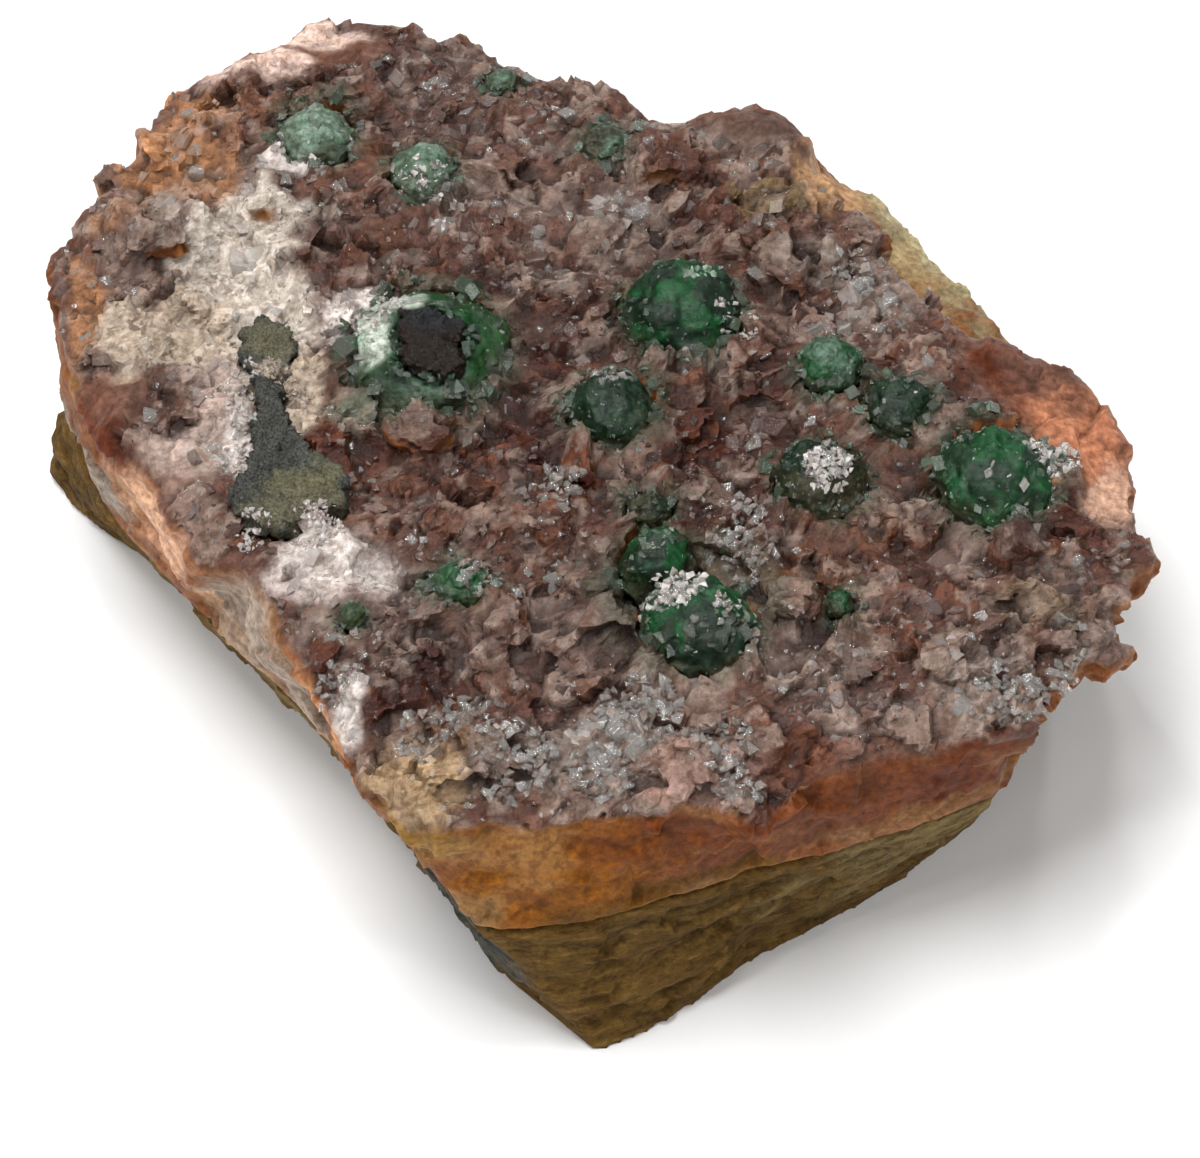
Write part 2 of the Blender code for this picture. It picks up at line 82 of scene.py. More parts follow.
# Colours of the stone as sRGB
COLOURS = {
    "default": "6b4a3c",
    "mauvebrown": "70584f",
    "mauve": "5c392d",
    "greymauve": "75625a",
    "darkmauve": "715953",
    "rustmauve": "653728",
    "rust": "53250f",
    "rustpink": "744834",
    "white": "cfc9bf",
    "cream": "bfb19f",
    "pinkwhite": "b4a49b",
    "palepink": "63483c",
    "chalk": "e3deda",
    "orange": "c38e62",
    "ochre": "66512b",
    "olive": "867351",
    "yellow": "926f2c",
    "yellowwhite": "bea37d",
    "brown": "ac8466",
    "palerim": "e6cdc0",
    "backbrown": "5a4740",
    "backorange": "b8936c",
    "greyclear": "8d8076",
    "clear": "93857b",
    "greygreen": "566e58",
    "salmon": "b57a5b",
    "palesalmon": "c4a18b",
    "pink": "ae8f82",
    "face": "7d4d29",
    "ochreface": "875207",
    "orangeface": "79420b",
    "rustface": "6f3913",
    "pinkface": "6e3c1c",
    "redface": "622d12",
    "sideveil": "a98556",
    "sidedark": "4a2810",
    "orangespot": "7d5233",
    "palegold": "8c6c42",
    "chalkgreen": "a8b0a6",
    "paleyellow": "64430e",
    "leftwhite": "a39789",
    "leftpink": "dbaf90",
    "leftgrey": "8c867b",
    "redstain": "602815",
    "ledge": "b1aa85",
    "ledgeolive": "887c4c",
    "emerald": "0d411f",
    "leaf": "113f1a",
    "bottle": "092010",
    "moss": "152d1a",
    "greyleaf": "496251",
    "paleleaf": "697e6f",
    "mint": "9dc4ab",
    "olivedark": "2b2b1a",
    "charcoal": "2f3232",
    "slate": "3c403e",
    "oliverock": "656047",
    "oliveyellow": "716d4c",
    "coredark": "24170e",
    "coreblue": "22262b",
    "glasswhite": "eeece7",
    "glassgrey": "d3ccc5",
    "crease_shade_and_rust": "241008",
    # Near-black brown: painted shade in the hollows, mixed with rust stain in the cracks
    "rustdeep": "3f1509",
    "rustorange": "7b4623",
    "mauvedeep": "4f302a",
    "milkveil": "94847a",
    "skirt": "423f30",
    "collar": "4a5142",
    "rock": "60471f",
    "rockgrey": "4a4c48",
    "rockyellow": "7a673a",
    "rockpale": "7d6a44",
    "rocktan": "aa874c",
}

# Patches on the top: colour, centre (x, y), half sizes (x, y)
TOP_PATCHES = (
    ("mauvebrown", (-7.5, 23.5), (10.0, 8.0)),
    ("mauvebrown", (-11.5, 34.5), (5.5, 4.5)),
    ("mauvebrown", (-19.0, 19.0), (4.0, 3.0)),
    ("mauve", (10.0, 18.5), (4.5, 3.0)),
    ("mauve", (12.5, -6.0), (4.5, 5.0)),
    ("mauve", (28.0, -20.0), (5.5, 3.0)),
    ("mauvebrown", (20.0, -30.5), (9.5, 4.0)),
    ("greymauve", (-7.0, -22.0), (9.5, 4.5)),
    ("greymauve", (-1.0, -24.5), (8.5, 5.0)),
    ("greymauve", (38.5, -23.0), (3.5, 6.0)),
    ("greyclear", (3.5, 19.0), (4.5, 4.0)),
    ("greyclear", (-1.0, 12.5), (4.5, 1.5)),
    ("greyclear", (23.5, 10.5), (4.5, 3.5)),
    ("greyclear", (16.5, -25.5), (4.5, 3.0)),
    ("greyclear", (19.0, 14.0), (3.5, 2.5)),
    ("greyclear", (-18.0, -23.0), (3.0, 2.0)),
    ("greyclear", (5.0, -34.0), (8.0, 4.0)),
    ("clear", (-1.0, -36.0), (9.5, 3.5)),
    ("clear", (30.5, -27.5), (4.5, 4.5)),
    ("white", (-26.0, 16.5), (7.5, 7.0)),
    ("white", (-25.5, 9.5), (6.0, 5.5)),
    ("cream", (-31.0, 6.0), (6.0, 5.0)),
    ("cream", (-35.0, 7.0), (3.0, 3.0)),
    ("cream", (-23.5, 1.5), (2.5, 2.5)),
    ("pinkwhite", (-28.5, -1.5), (5.0, 6.5)),
    ("chalk", (-18.0, -16.5), (5.5, 4.0)),
    ("chalk", (-16.5, 8.0), (4.0, 4.0)),
    ("chalk", (-25.0, -4.0), (1.5, 6.0)),
    ("chalk", (-22.0, 25.5), (3.5, 2.0)),
    ("chalk", (-16.0, -30.5), (1.5, 3.5)),
    ("cream", (-20.5, 1.0), (1.5, 4.5)),
    ("palepink", (-32.0, -1.0), (4.0, 3.0)),
    ("brown", (-36.0, 18.5), (2.5, 4.0)),
    ("orange", (-31.5, 26.5), (4.5, 5.5)),
    ("orange", (-29.0, 31.0), (3.0, 3.0)),
    ("orange", (-38.0, 9.5), (1.5, 6.0)),
    ("orangespot", (-15.0, 17.5), (1.5, 1.5)),
    ("orangespot", (18.5, -18.5), (3.5, 3.0)),
    ("orangespot", (23.0, -13.5), (2.0, 1.5)),
    ("ochre", (34.5, -21.0), (3.5, 2.0)),
    ("olive", (15.0, 21.5), (3.5, 2.5)),
    ("palerim", (-25.5, 36.0), (4.5, 2.0)),
    ("palerim", (-20.0, 40.0), (4.0, 2.0)),
    ("backbrown", (14.5, 29.0), (4.0, 3.0)),
    ("backorange", (19.5, 24.5), (2.5, 4.0)),
    ("rust", (-34.0, -3.5), (3.0, 1.5)),
    ("rust", (-7.5, 11.0), (4.5, 2.5)),
    ("rust", (-1.0, -4.0), (7.0, 4.0)),
    ("rust", (-17.0, -5.0), (5.5, 2.0)),
    ("rust", (-10.5, -29.5), (3.0, 2.5)),
    ("rust", (30.5, 4.0), (2.5, 2.5)),
    ("rust", (9.5, -4.0), (4.5, 4.0)),
    ("rust", (2.5, -10.0), (3.0, 2.0)),
    ("rust", (3.5, -5.5), (4.5, 3.0)),
    ("rust", (31.0, -29.5), (1.0, 3.0)),
    ("rust", (-18.0, -25.5), (1.5, 3.5)),
    ("rustpink", (26.0, 4.0), (3.5, 2.5)),
    ("rustpink", (33.0, -0.5), (2.5, 3.0)),
    ("rustpink", (15.5, -34.0), (5.5, 2.0)),
    ("rustmauve", (36.0, -14.0), (4.5, 2.5)),
    ("darkmauve", (31.0, -0.5), (2.0, 2.0)),
    ("greygreen", (-11.5, -1.5), (7.0, 3.0)),
    ("salmon", (38.5, -4.0), (4.0, 6.0)),
    ("palesalmon", (40.5, -10.0), (2.0, 4.0)),
    ("pink", (9.0, -36.0), (4.5, 3.5)),
    ("yellowwhite", (-11.5, -36.5), (4.5, 4.5)),
    ("greymauve", (-10.5, -24.0), (3.0, 3.0)),
)

# Patches on the sides: colour, centre (x, y, z), half sizes (x, y, z)
SIDE_PATCHES = (
    ("redface", (28.0, -33.0, 20.0), (10.0, 7.0, 6.0)),
    ("pinkface", (17.0, -36.0, 18.5), (12.0, 8.0, 4.0)),
    ("rustface", (11.0, -38.0, 22.0), (11.0, 6.0, 3.0)),
    ("orangeface", (5.0, -41.0, 18.0), (8.0, 6.0, 5.0)),
    ("ochreface", (-4.0, -42.0, 18.5), (9.0, 7.0, 7.0)),
    ("yellow", (-11.0, -40.0, 22.0), (4.5, 6.0, 3.5)),
    ("paleyellow", (9.0, -39.0, 14.6), (15.0, 6.0, 1.8)),
    ("palegold", (-8.0, -41.0, 15.0), (3.5, 5.0, 2.5)),
    ("leftwhite", (-23.0, -19.0, 17.5), (9.0, 13.0, 6.0)),
    ("leftpink", (-31.0, -8.0, 20.0), (7.0, 7.0, 5.0)),
    ("leftgrey", (-37.0, 2.0, 16.5), (5.0, 9.0, 4.0)),
    ("orange", (-18.0, -30.0, 22.0), (5.0, 5.0, 4.0)),
    ("redstain", (-35.5, -2.0, 23.8), (3.6, 4.5, 2.2)),
    ("salmon", (40.0, -3.0, 21.0), (6.0, 9.0, 7.0)),
    ("palesalmon", (42.5, -11.0, 20.0), (4.0, 5.0, 6.0)),
    ("ledge", (28.0, 24.0, 16.5), (9.0, 13.0, 5.0)),
    ("ledgeolive", (31.5, 17.5, 14.5), (4.0, 6.0, 2.0)),
    ("backbrown", (14.0, 32.0, 22.0), (7.0, 5.0, 5.0)),
    ("backorange", (20.0, 26.0, 20.5), (4.5, 6.5, 5.5)),
    ("orange", (-31.0, 33.0, 21.0), (8.0, 8.0, 6.0)),
    ("palerim", (-21.0, 41.0, 21.0), (6.0, 5.0, 5.0)),
    ("mauvebrown", (-3.0, 38.0, 20.0), (10.0, 6.0, 6.0)),
)

# Places where the massive stone has no druse on it: centre (x, y), half sizes (x, y)
SMOOTH_PLACES = (
    ((40.0, -2.5), (7.0, 9.5)),
    ((35.0, 3.0), (6.5, 5.0)),
    ((15.0, 30.0), (6.0, 3.5)),
    ((20.0, 25.5), (2.5, 5.0)),
    ((-24.0, 38.5), (9.0, 2.5)),
    ((-36.5, -1.0), (3.5, 4.5)),
    ((-31.0, -7.0), (4.0, 3.0)),
)

# Where the druse is most stained with rust: centre (x, y), half sizes (x, y)
RUSTY_PLACES = (
    ((-3.0, 1.0), (15.0, 13.0)),
    ((10.0, -4.0), (14.0, 12.0)),
    ((33.0, -6.0), (11.0, 14.0)),
    ((-12.0, -29.0), (6.0, 4.0)),
)

# Bands of the random number of a flat that change its colour: colour, from, to, strength
RUST_BANDS = (("rustdeep", 0.0, 0.30, 0.85), ("rustorange", 0.30, 0.40, 0.7), ("mauvedeep", 0.40, 0.52, 0.6))
MILK_BANDS = (("milkveil", 0.80, 1.10, 0.6),)
RUST_SHADE = 0.25  # how much darker all flats are where rust stains the druse
SKIRT_RISE = 1.0  # how far the crust climbs up a ball
SKIRT_CLOSING = 0.8

# How much glassy crystal lies on the druse, beyond a thin sprinkle: centre (x, y), radius, share
GLASSY_PLACES = (
    ((-2.0, -36.0), 7.5, 0.9),
    ((6.0, -33.5), 7.0, 0.8),
    ((31.0, -26.5), 6.5, 0.8),
    ((-9.5, -35.0), 4.0, 0.5),
    ((17.0, -25.0), 4.5, 0.7),
    ((35.5, -9.5), 3.6, 0.9),
    ((24.0, 10.5), 6.0, 0.6),
    ((3.5, 18.5), 5.0, 0.6),
    ((-12.0, 22.5), 4.5, 0.7),
    ((-12.0, -0.5), 5.5, 0.5),
    ((-17.0, -24.0), 4.0, 0.6),
    ((1.0, -15.0), 4.5, 0.5),
    ((14.5, 22.5), 3.5, 0.6),
    ((11.0, -12.5), 4.0, 0.4),
)

# Clumps of crystals with a colour of their own: colour, centre (x, y), radius, count, crystal size
CLUMPS = (
    ("glasswhite", (19.0, -9.5), 1.8, 150, 1.0),
    ("glasswhite", (7.5, -21.0), 2.4, 170, 1.0),
    ("glasswhite", (36.0, -7.5), 2.2, 120, 1.0),
    ("clear", (-8.0, -31.0), 2.2, 70, 1.2),
    ("clear", (5.0, -30.5), 3.0, 110, 1.3),
    ("clear", (2.0, -36.0), 2.5, 90, 1.3),
    ("clear", (-4.0, -35.5), 3.0, 100, 1.3),
    ("clear", (10.5, -34.0), 2.5, 80, 1.3),
    ("clear", (12.0, -37.0), 1.8, 50, 1.2),
    ("clear", (-11.0, -33.0), 2.0, 50, 1.1),
    ("clear", (32.0, -28.5), 2.6, 80, 1.3),
    ("clear", (37.0, -27.0), 2.0, 50, 1.2),
    ("clear", (-17.0, -28.0), 1.8, 60, 1.0),
    ("clear", (-1.0, -9.5), 2.2, 60, 1.1),
    ("clear", (2.5, 0.5), 2.0, 45, 0.9),
    ("clear", (12.0, -24.0), 2.0, 50, 0.9),
    ("clear", (12.5, -16.0), 2.6, 90, 1.1),
    ("clear", (13.0, -11.5), 1.6, 40, 1.1),
    ("clear", (-6.0, -18.5), 2.4, 50, 1.1),
    ("clear", (22.0, 13.0), 2.4, 50, 1.1),
    ("chalk", (-25.3, 1.4), 1.3, 60, 0.7),
    ("chalk", (-25.2, -2.5), 1.3, 60, 0.7),
    ("chalk", (-25.4, -6.2), 1.3, 60, 0.7),
    ("cream", (-22.9, 1.7), 1.1, 60, 0.6),
    ("cream", (-21.0, 0.2), 1.2, 60, 0.6),
    ("chalk", (-19.0, -13.4), 1.9, 110, 0.7),
    ("chalk", (-23.8, -13.4), 1.4, 60, 0.7),
    ("mint", (9.8, 9.6), 1.0, 34, 0.7),
    ("glasswhite", (12.5, 6.5), 1.8, 36, 0.7),
    ("glasswhite", (-12.0, 22.0), 2.0, 60, 0.8),
    ("chalk", (-16.5, 8.0), 3.2, 130, 0.6),
)

# Each ball's look: main colour, second colour, share of grey glassy crystals
BALL_LOOKS = (
    ("emerald", "bottle", 0.12),
    ("leaf", "moss", 0.25),
    ("emerald", "bottle", 0.22),
    ("moss", "emerald", 0.30),
    ("greyleaf", "emerald", 0.15),
    ("bottle", "moss", 0.25),
    ("bottle", "olivedark", 0.35),
    ("bottle", "moss", 0.55),
    ("greyleaf", "emerald", 0.20),
    ("paleleaf", "greyleaf", 0.35),
    ("paleleaf", "greyleaf", 0.50),
    ("olivedark", "bottle", 0.10),
    ("emerald", "bottle", 0.05),
    ("emerald", "bottle", 0.05),
    ("greyleaf", "emerald", 0.15),
    ("greyleaf", "olivedark", 0.30),
)

# The broken ball: chalk at its upper left, a green ring round a dark heart
BROKEN_BALL = 1
CORE_CENTRE = (-11.0, 3.4)
CORE_HALF = (3.0, 3.7)
CORE_TOP = 28.1
CORE_RIM_COUNT = 110
BROKEN_BALL_PATCHES = (
    ("moss", (0.0, -5.0), (7.0, 2.5)),
    ("greyleaf", (1.0, -5.5), (6.0, 2.0)),
    ("leaf", (2.5, -0.5), (3.5, 4.5)),
    ("paleleaf", (0.6, -3.5), (2.5, 1.0)),
    ("chalkgreen", (-3.5, 3.5), (3.5, 2.5)),
    ("chalkgreen", (-4.5, 0.5), (2.0, 3.0)),
    ("mint", (-6.0, -0.5), (1.0, 1.0)),
)

SLIVER_PATCHES = (
    ("oliverock", (-23.5, 5.0), (2.0, 2.0)),
    ("cream", (-23.0, 2.0), (1.5, 1.0)),
    ("charcoal", (-23.0, -4.0), (2.5, 6.0)),
    ("charcoal", (-24.0, -10.0), (2.0, 2.5)),
    ("oliveyellow", (-20.0, -9.5), (3.0, 2.5)),
    ("oliverock", (-21.0, -12.0), (4.0, 2.0)),
    ("charcoal", (-17.0, -9.5), (1.0, 1.0)),
)
CORE_PATCHES = (("coreblue", (-10.6, 5.2), (2.8, 1.7)),)
ROCK_PATCHES = (
    ("rockgrey", (-8.0, -36.0, 6.0), (4.5, 9.0, 9.0)),
    ("rockyellow", (-38.0, -6.0, 8.0), (6.0, 8.0, 6.0)),
    ("rockpale", (-20.0, -24.0, 12.0), (14.0, 14.0, 2.0)),
    # This pale patch is painted light that brightens the shaded right front of the rock
    ("rockpale", (26.0, -32.0, 9.0), (12.0, 9.0, 6.0)),
)

CHIP_COVER = 0.78  # share of the druse that small crystals cover outside the glassy places
CLEAR_SHARE = 0.18  # share of them that is clear
CLEAR_CLUMP_SHARES = {"clear": 0.7, "glasswhite": 0.3}  # share of clear crystals in clumps of these colours


def linear(name):
    """The named colour as linear red, green and blue."""
    code = COLOURS[name]
    values = np.array([int(code[i : i + 2], 16) / 255.0 for i in (0, 2, 4)])
    return np.where(values <= 0.04045, values / 12.92, ((values + 0.055) / 1.055) ** 2.4)


# Noise

def lattice(ix, iy, iz, seed):
    """A repeatable random number from 0 to 1 for each whole-number place."""
    h = (ix * 374761393 + iy * 668265263 + iz * 1103515245 + seed * 974634777) & 0xFFFFFFFF
    h = ((h ^ (h >> 13)) * 1274126177) & 0xFFFFFFFF
    return ((h ^ (h >> 16)) & 0xFFFFFF) / float(0x1000000)


def noise(points, scale, seed):
    """Smooth noise from -1 to 1; scale is its feature size, one number or one for each axis."""
    p = points / np.asarray(scale, float) + seed * 17.31
    whole = np.floor(p).astype(np.int64)
    f = p - whole
    f = f * f * (3.0 - 2.0 * f)
    total = np.zeros(len(p))
    for dx in (0, 1):
        wx = f[:, 0] if dx else 1.0 - f[:, 0]
        for dy in (0, 1):
            wy = f[:, 1] if dy else 1.0 - f[:, 1]
            for dz in (0, 1):
                wz = f[:, 2] if dz else 1.0 - f[:, 2]
                total += wx * wy * wz * lattice(whole[:, 0] + dx, whole[:, 1] + dy, whole[:, 2] + dz, seed)
    return total * 2.0 - 1.0


def fractal(points, scale, seed, octaves=3):
    total = np.zeros(len(points))
    for k in range(octaves):
        total += noise(points, np.asarray(scale, float) / 2.0**k, seed + k) / 2.0**k
    return total


def smoothstep(low, high, values):
    t = np.clip((values - low) / (high - low), 0.0, 1.0)
    return t * t * (3.0 - 2.0 * t)


# Mesh tools, all in millimetres

def node_arrays(name):
    """Points and triangles of a CAD node, with its split corners welded."""
    body = bmesh.new()
    body.from_mesh(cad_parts[name].data)
    bmesh.ops.scale(body, vec=(1 / MM, 1 / MM, 1 / MM), verts=body.verts)
    bmesh.ops.remove_doubles(body, verts=body.verts, dist=WELD)
    bmesh.ops.triangulate(body, faces=body.faces)
    points, faces = arrays_of(body)
    body.free()
    return points, faces


def arrays_of(body):
    body.verts.index_update()
    points = np.array([v.co for v in body.verts])
    faces = np.array([[v.index for v in f.verts] for f in body.faces])
    return points, faces


def joined(parts):
    """One (points, faces) from several."""
    points = []
    faces = []
    start = 0
    for part_points, part_faces in parts:
        points.append(part_points)
        faces.append(part_faces + start)
        start += len(part_points)
    return np.concatenate(points), np.concatenate(faces)


def fill_mesh(mesh, points, *face_groups):
    """Fill an empty mesh; each group holds faces with the same number of corners."""
    corners = np.concatenate([group.ravel() for group in face_groups])
    sizes = np.concatenate([np.full(len(group), group.shape[1]) for group in face_groups])
    starts = np.concatenate([[0], np.cumsum(sizes)[:-1]])
    mesh.vertices.add(len(points))
    mesh.vertices.foreach_set("co", np.ascontiguousarray(points, np.float32).ravel())
    mesh.loops.add(len(corners))
    mesh.loops.foreach_set("vertex_index", corners.astype(np.int32))
    mesh.polygons.add(len(sizes))
    mesh.polygons.foreach_set("loop_start", starts.astype(np.int32))
    mesh.update(calc_edges=True)


def remeshed(points, faces, voxel):
    """The outer surface of overlapping closed shapes as an even mesh of quads."""
    mesh = bpy.data.meshes.new("rough")
    fill_mesh(mesh, points, faces)
    thing = bpy.data.objects.new("rough", mesh)
    bpy.context.scene.collection.objects.link(thing)
    modifier = thing.modifiers.new("even", "REMESH")
    modifier.mode = "VOXEL"
    modifier.voxel_size = voxel
    even = thing.evaluated_get(bpy.context.evaluated_depsgraph_get()).to_mesh()
    places = np.empty(len(even.vertices) * 3)
    even.vertices.foreach_get("co", places)
    quads = np.empty(len(even.polygons) * 4, np.int32)
    even.polygons.foreach_get("vertices", quads)
    bpy.data.objects.remove(thing)
    bpy.data.meshes.remove(mesh)
    return places.reshape(-1, 3), quads.reshape(-1, 4).astype(np.int64)


def without_hidden(points, faces, hidden):
    """The mesh with the inside of a flat hidden side replaced by one fan of triangles."""
    inside = hidden[faces].all(axis=1)
    dropped = faces[inside]
    sides = np.concatenate([dropped[:, [k, (k + 1) % 4]] for k in range(4)])
    _, first, times = np.unique(np.sort(sides, axis=1), axis=0, return_index=True, return_counts=True)
    border = sides[first[times == 1]]
    hub = points[np.unique(dropped)].mean(axis=0)
    used = np.unique(faces[~inside])
    fresh = np.full(len(points), -1)
    fresh[used] = np.arange(len(used))
    fan = np.column_stack([fresh[border], np.full(len(border), len(used))])
    return np.vstack([points[used], hub]), fresh[faces[~inside]], fan


class Surface:
    """A mesh of quads, and at most one fan of triangles, whose points can be moved along their normals."""

    def __init__(self, points, faces, fan=None):
        self.points = points
        self.faces = faces
        self.fan = fan
        pairs = [faces[:, [k, (k + 1) % 4]] for k in range(4)]
        self.edges = np.unique(np.sort(np.concatenate(pairs), axis=1), axis=0)
        self.degree = np.maximum(np.bincount(self.edges.ravel(), minlength=len(points)), 1).astype(float)

    def normals(self):
        a, b, c, d = (self.points[self.faces[:, k]] for k in range(4))
        across = np.cross(c - a, d - b)
        total = np.zeros_like(self.points)
        for k in range(4):
            for axis in range(3):
                total[:, axis] += np.bincount(
                    self.faces[:, k], weights=across[:, axis], minlength=len(self.points)
                )
        return total / np.maximum(np.linalg.norm(total, axis=1, keepdims=True), 1e-12)

    def averaged(self, values, rounds):
        """Values, one or three for each point, mixed with their neighbours'."""
        a, b = self.edges.T
        columns = values.reshape(len(values), -1)
        for _ in range(rounds):
            fresh = np.empty_like(columns)
            for k in range(columns.shape[1]):
                near = np.bincount(a, weights=columns[b, k], minlength=len(columns))
                near += np.bincount(b, weights=columns[a, k], minlength=len(columns))
                fresh[:, k] = 0.5 * columns[:, k] + 0.5 * near / self.degree
            columns = fresh
        return columns.reshape(values.shape)

    def push(self, amount, normals=None):
        self.points = self.points + (self.normals() if normals is None else normals) * amount[:, None]

    def soften(self, rounds):
        self.points = self.averaged(self.points, rounds)

    def hollowness(self, rounds, full):
        """1 in hollows, -1 on ridges, 0 on flats; full is the depth that counts as 1."""
        smooth = self.averaged(self.points, rounds)
        depth = np.einsum("ij,ij->i", smooth - self.points, self.normals())
        return np.clip(depth / full, -1.0, 1.0)


def facets(points, spacing, slope, seed):
    """Height of a mosaic of tilted flats about spacing across, and a random number for each flat."""
    p = points / spacing
    whole = np.floor(p).astype(np.int64)
    nearest = np.full(len(points), 9.0)
    cell = np.zeros((len(points), 3), np.int64)
    offset = np.zeros((len(points), 3))
    for dx in (-1, 0, 1):
        for dy in (-1, 0, 1):
            for dz in (-1, 0, 1):
                c = whole + np.array([dx, dy, dz])
                corner = [lattice(c[:, 0], c[:, 1], c[:, 2], seed + k) for k in range(3)]
                away = p - c - np.stack(corner, axis=1)
                distance = np.einsum("ij,ij->i", away, away)
                closer = distance < nearest
                nearest[closer] = distance[closer]
                cell[closer] = c[closer]
                offset[closer] = away[closer]
    x, y, z = cell.T
    tilt = np.stack([lattice(x, y, z, seed + 10 + k) for k in range(3)], axis=1) * 2.0 - 1.0
    lift = lattice(x, y, z, seed + 14) - 0.5
    height = (np.einsum("ij,ij->i", offset, tilt) * 1.8 + lift) * slope * spacing
    return height, lattice(x, y, z, seed + 15)


def patch_weight(points, centre, half, seed):
    """1 inside an irregular patch, falling to 0 outside it."""
    axes = len(centre)
    warp = np.stack([fractal(points, 3.5, seed + k, 2) for k in range(axes)], axis=1)
    away = (points[:, :axes] - np.array(centre)) / np.array(half) + warp * 0.42
    return 1.0 - smoothstep(0.6, 1.2, np.linalg.norm(away, axis=1))


def patched(points, start, patches, strength=0.92):
    colour = np.tile(linear(start), (len(points), 1))
    for i, (name, centre, half) in enumerate(patches):
        weight = patch_weight(points, centre, half, 40 + 3 * i)[:, None] * strength
        colour = colour * (1.0 - weight) + linear(name) * weight
    return colour


def drusy(points):
    """1 where the druse grows, 0 on the smooth massive places."""
    share = np.ones(len(points))
    for i, (centre, half) in enumerate(SMOOTH_PLACES):
        share *= 1.0 - patch_weight(points, centre, half, 300 + 3 * i)
    return share


def chalkiness(points):
    chalk = np.zeros(len(points))
    for i, (name, centre, half) in enumerate(TOP_PATCHES):
        if name in ("chalk", "white"):
            amount = 1.0 if name == "chalk" else 0.55
            chalk = np.maximum(chalk, amount * patch_weight(points, centre, half, 40 + 3 * i))
    return chalk


# Crystal shapes

def rhomb_shape(bevel):
    """A dolomite rhomb of edge 1, with narrow broken edges if bevel is above 0."""
    body = bmesh.new()
    bmesh.ops.create_cube(body, size=1.0)
    if bevel:
        bmesh.ops.bevel(body, geom=body.edges[:], offset=bevel, segments=1, affect="EDGES")
    bmesh.ops.triangulate(body, faces=body.faces)
    points, faces = arrays_of(body)
    body.free()
    diagonal = np.ones(3) / math.sqrt(3.0)
    squeeze = np.eye(3) - (1.0 - RHOMB_FLATTENING) * np.outer(diagonal, diagonal)
    return points @ squeeze, faces


def chip_shape(seed, count):
    """An irregular glassy chip: the hull of a few scattered points."""
    rng = np.random.default_rng(seed)
    cloud = rng.normal(size=(count, 3))
    cloud /= np.linalg.norm(cloud, axis=1, keepdims=True)
    cloud *= rng.uniform(0.45, 0.62, (count, 1)) * CHIP_SIDES
    body = bmesh.new()
    for point in cloud:
        body.verts.new(point)
    hull = bmesh.ops.convex_hull(body, input=body.verts)
    loose = {g for g in hull["geom_interior"] + hull["geom_unused"] if isinstance(g, bmesh.types.BMVert)}
    bmesh.ops.delete(body, geom=list(loose), context="VERTS")
    bmesh.ops.recalc_face_normals(body, faces=body.faces)
    points, faces = arrays_of(body)
    body.free()
    return points, faces


CHIP_SIDES = (1.0, 0.8, 0.65)
LARGE_SHAPES = [rhomb_shape(0.12)] + [chip_shape(20 + k, 22) for k in range(6)]
CHIP_GAMMA = 0.92  # a crystal's colour is its place's colour to this power, as light also comes from below
COLLAR_CROWD = 2.6  # crystals for each millimetre round a ball's foot
CHIP_SHAPES = [chip_shape(60 + k, 9) for k in range(4)]
SMALL_SHAPES = [rhomb_shape(0.0)] + CHIP_SHAPES
# Druse crystals: name, spacing, smallest, largest, shapes, least upward lean, amount, depth as a share of size
DRUSE_SIZES = (
    ("large", 2.2, 2.2, 3.8, LARGE_SHAPES, 0.93, 1.2, 0.38),
    ("medium", 1.5, 1.2, 2.2, LARGE_SHAPES, 0.88, 1.2, 0.35),
    ("small", 1.0, 0.6, 1.2, SMALL_SHAPES, 0.75, 0.8, 0.30),
    ("tiny", 0.8, 0.25, 0.55, SMALL_SHAPES, 0.50, 0.6, 0.22),
)


def turns(count, rng):
    """Random rotation matrices."""
    q = rng.normal(size=(count, 4))
    w, x, y, z = (q / np.linalg.norm(q, axis=1, keepdims=True)).T
    rows = (
        (1 - 2 * (y * y + z * z), 2 * (x * y - z * w), 2 * (x * z + y * w)),
        (2 * (x * y + z * w), 1 - 2 * (x * x + z * z), 2 * (y * z - x * w)),
        (2 * (x * z - y * w), 2 * (y * z + x * w), 1 - 2 * (x * x + y * y)),
    )
    return np.stack([np.stack(row, axis=1) for row in rows], axis=1)


def crystals(places, sizes, tints, shapes, rng):
    """Points, triangles and point colours of one crystal at each place."""
    kind = rng.integers(0, len(shapes), len(places))
    turn = turns(len(places), rng)
    stretch = rng.uniform(0.75, 1.25, (len(places), 3)) * sizes[:, None]
    parts = []
    colours = []
    for k, (shape_points, shape_faces) in enumerate(shapes):
        chosen = np.flatnonzero(kind == k)
        if not len(chosen):
            continue
        local = shape_points[None] * stretch[chosen][:, None]
        placed = np.einsum("nij,nvj->nvi", turn[chosen], local) + places[chosen][:, None]
        shifts = np.arange(len(chosen)) * len(shape_points)
        parts.append((placed.reshape(-1, 3), (shape_faces[None] + shifts[:, None, None]).reshape(-1, 3)))
        colours.append(np.repeat(tints[chosen], len(shape_points), axis=0))
    return (*joined(parts), np.concatenate(colours))


def spread(surface, where, spacing, rng):
    """Numbers of surface points, picked from those in where, about spacing apart."""
    candidates = rng.permutation(np.flatnonzero(where))
    cells = np.floor(surface.points[candidates] / spacing).astype(np.int64)
    _, first = np.unique(cells, axis=0, return_index=True)
    return candidates[np.sort(first)]


# Storing pieces

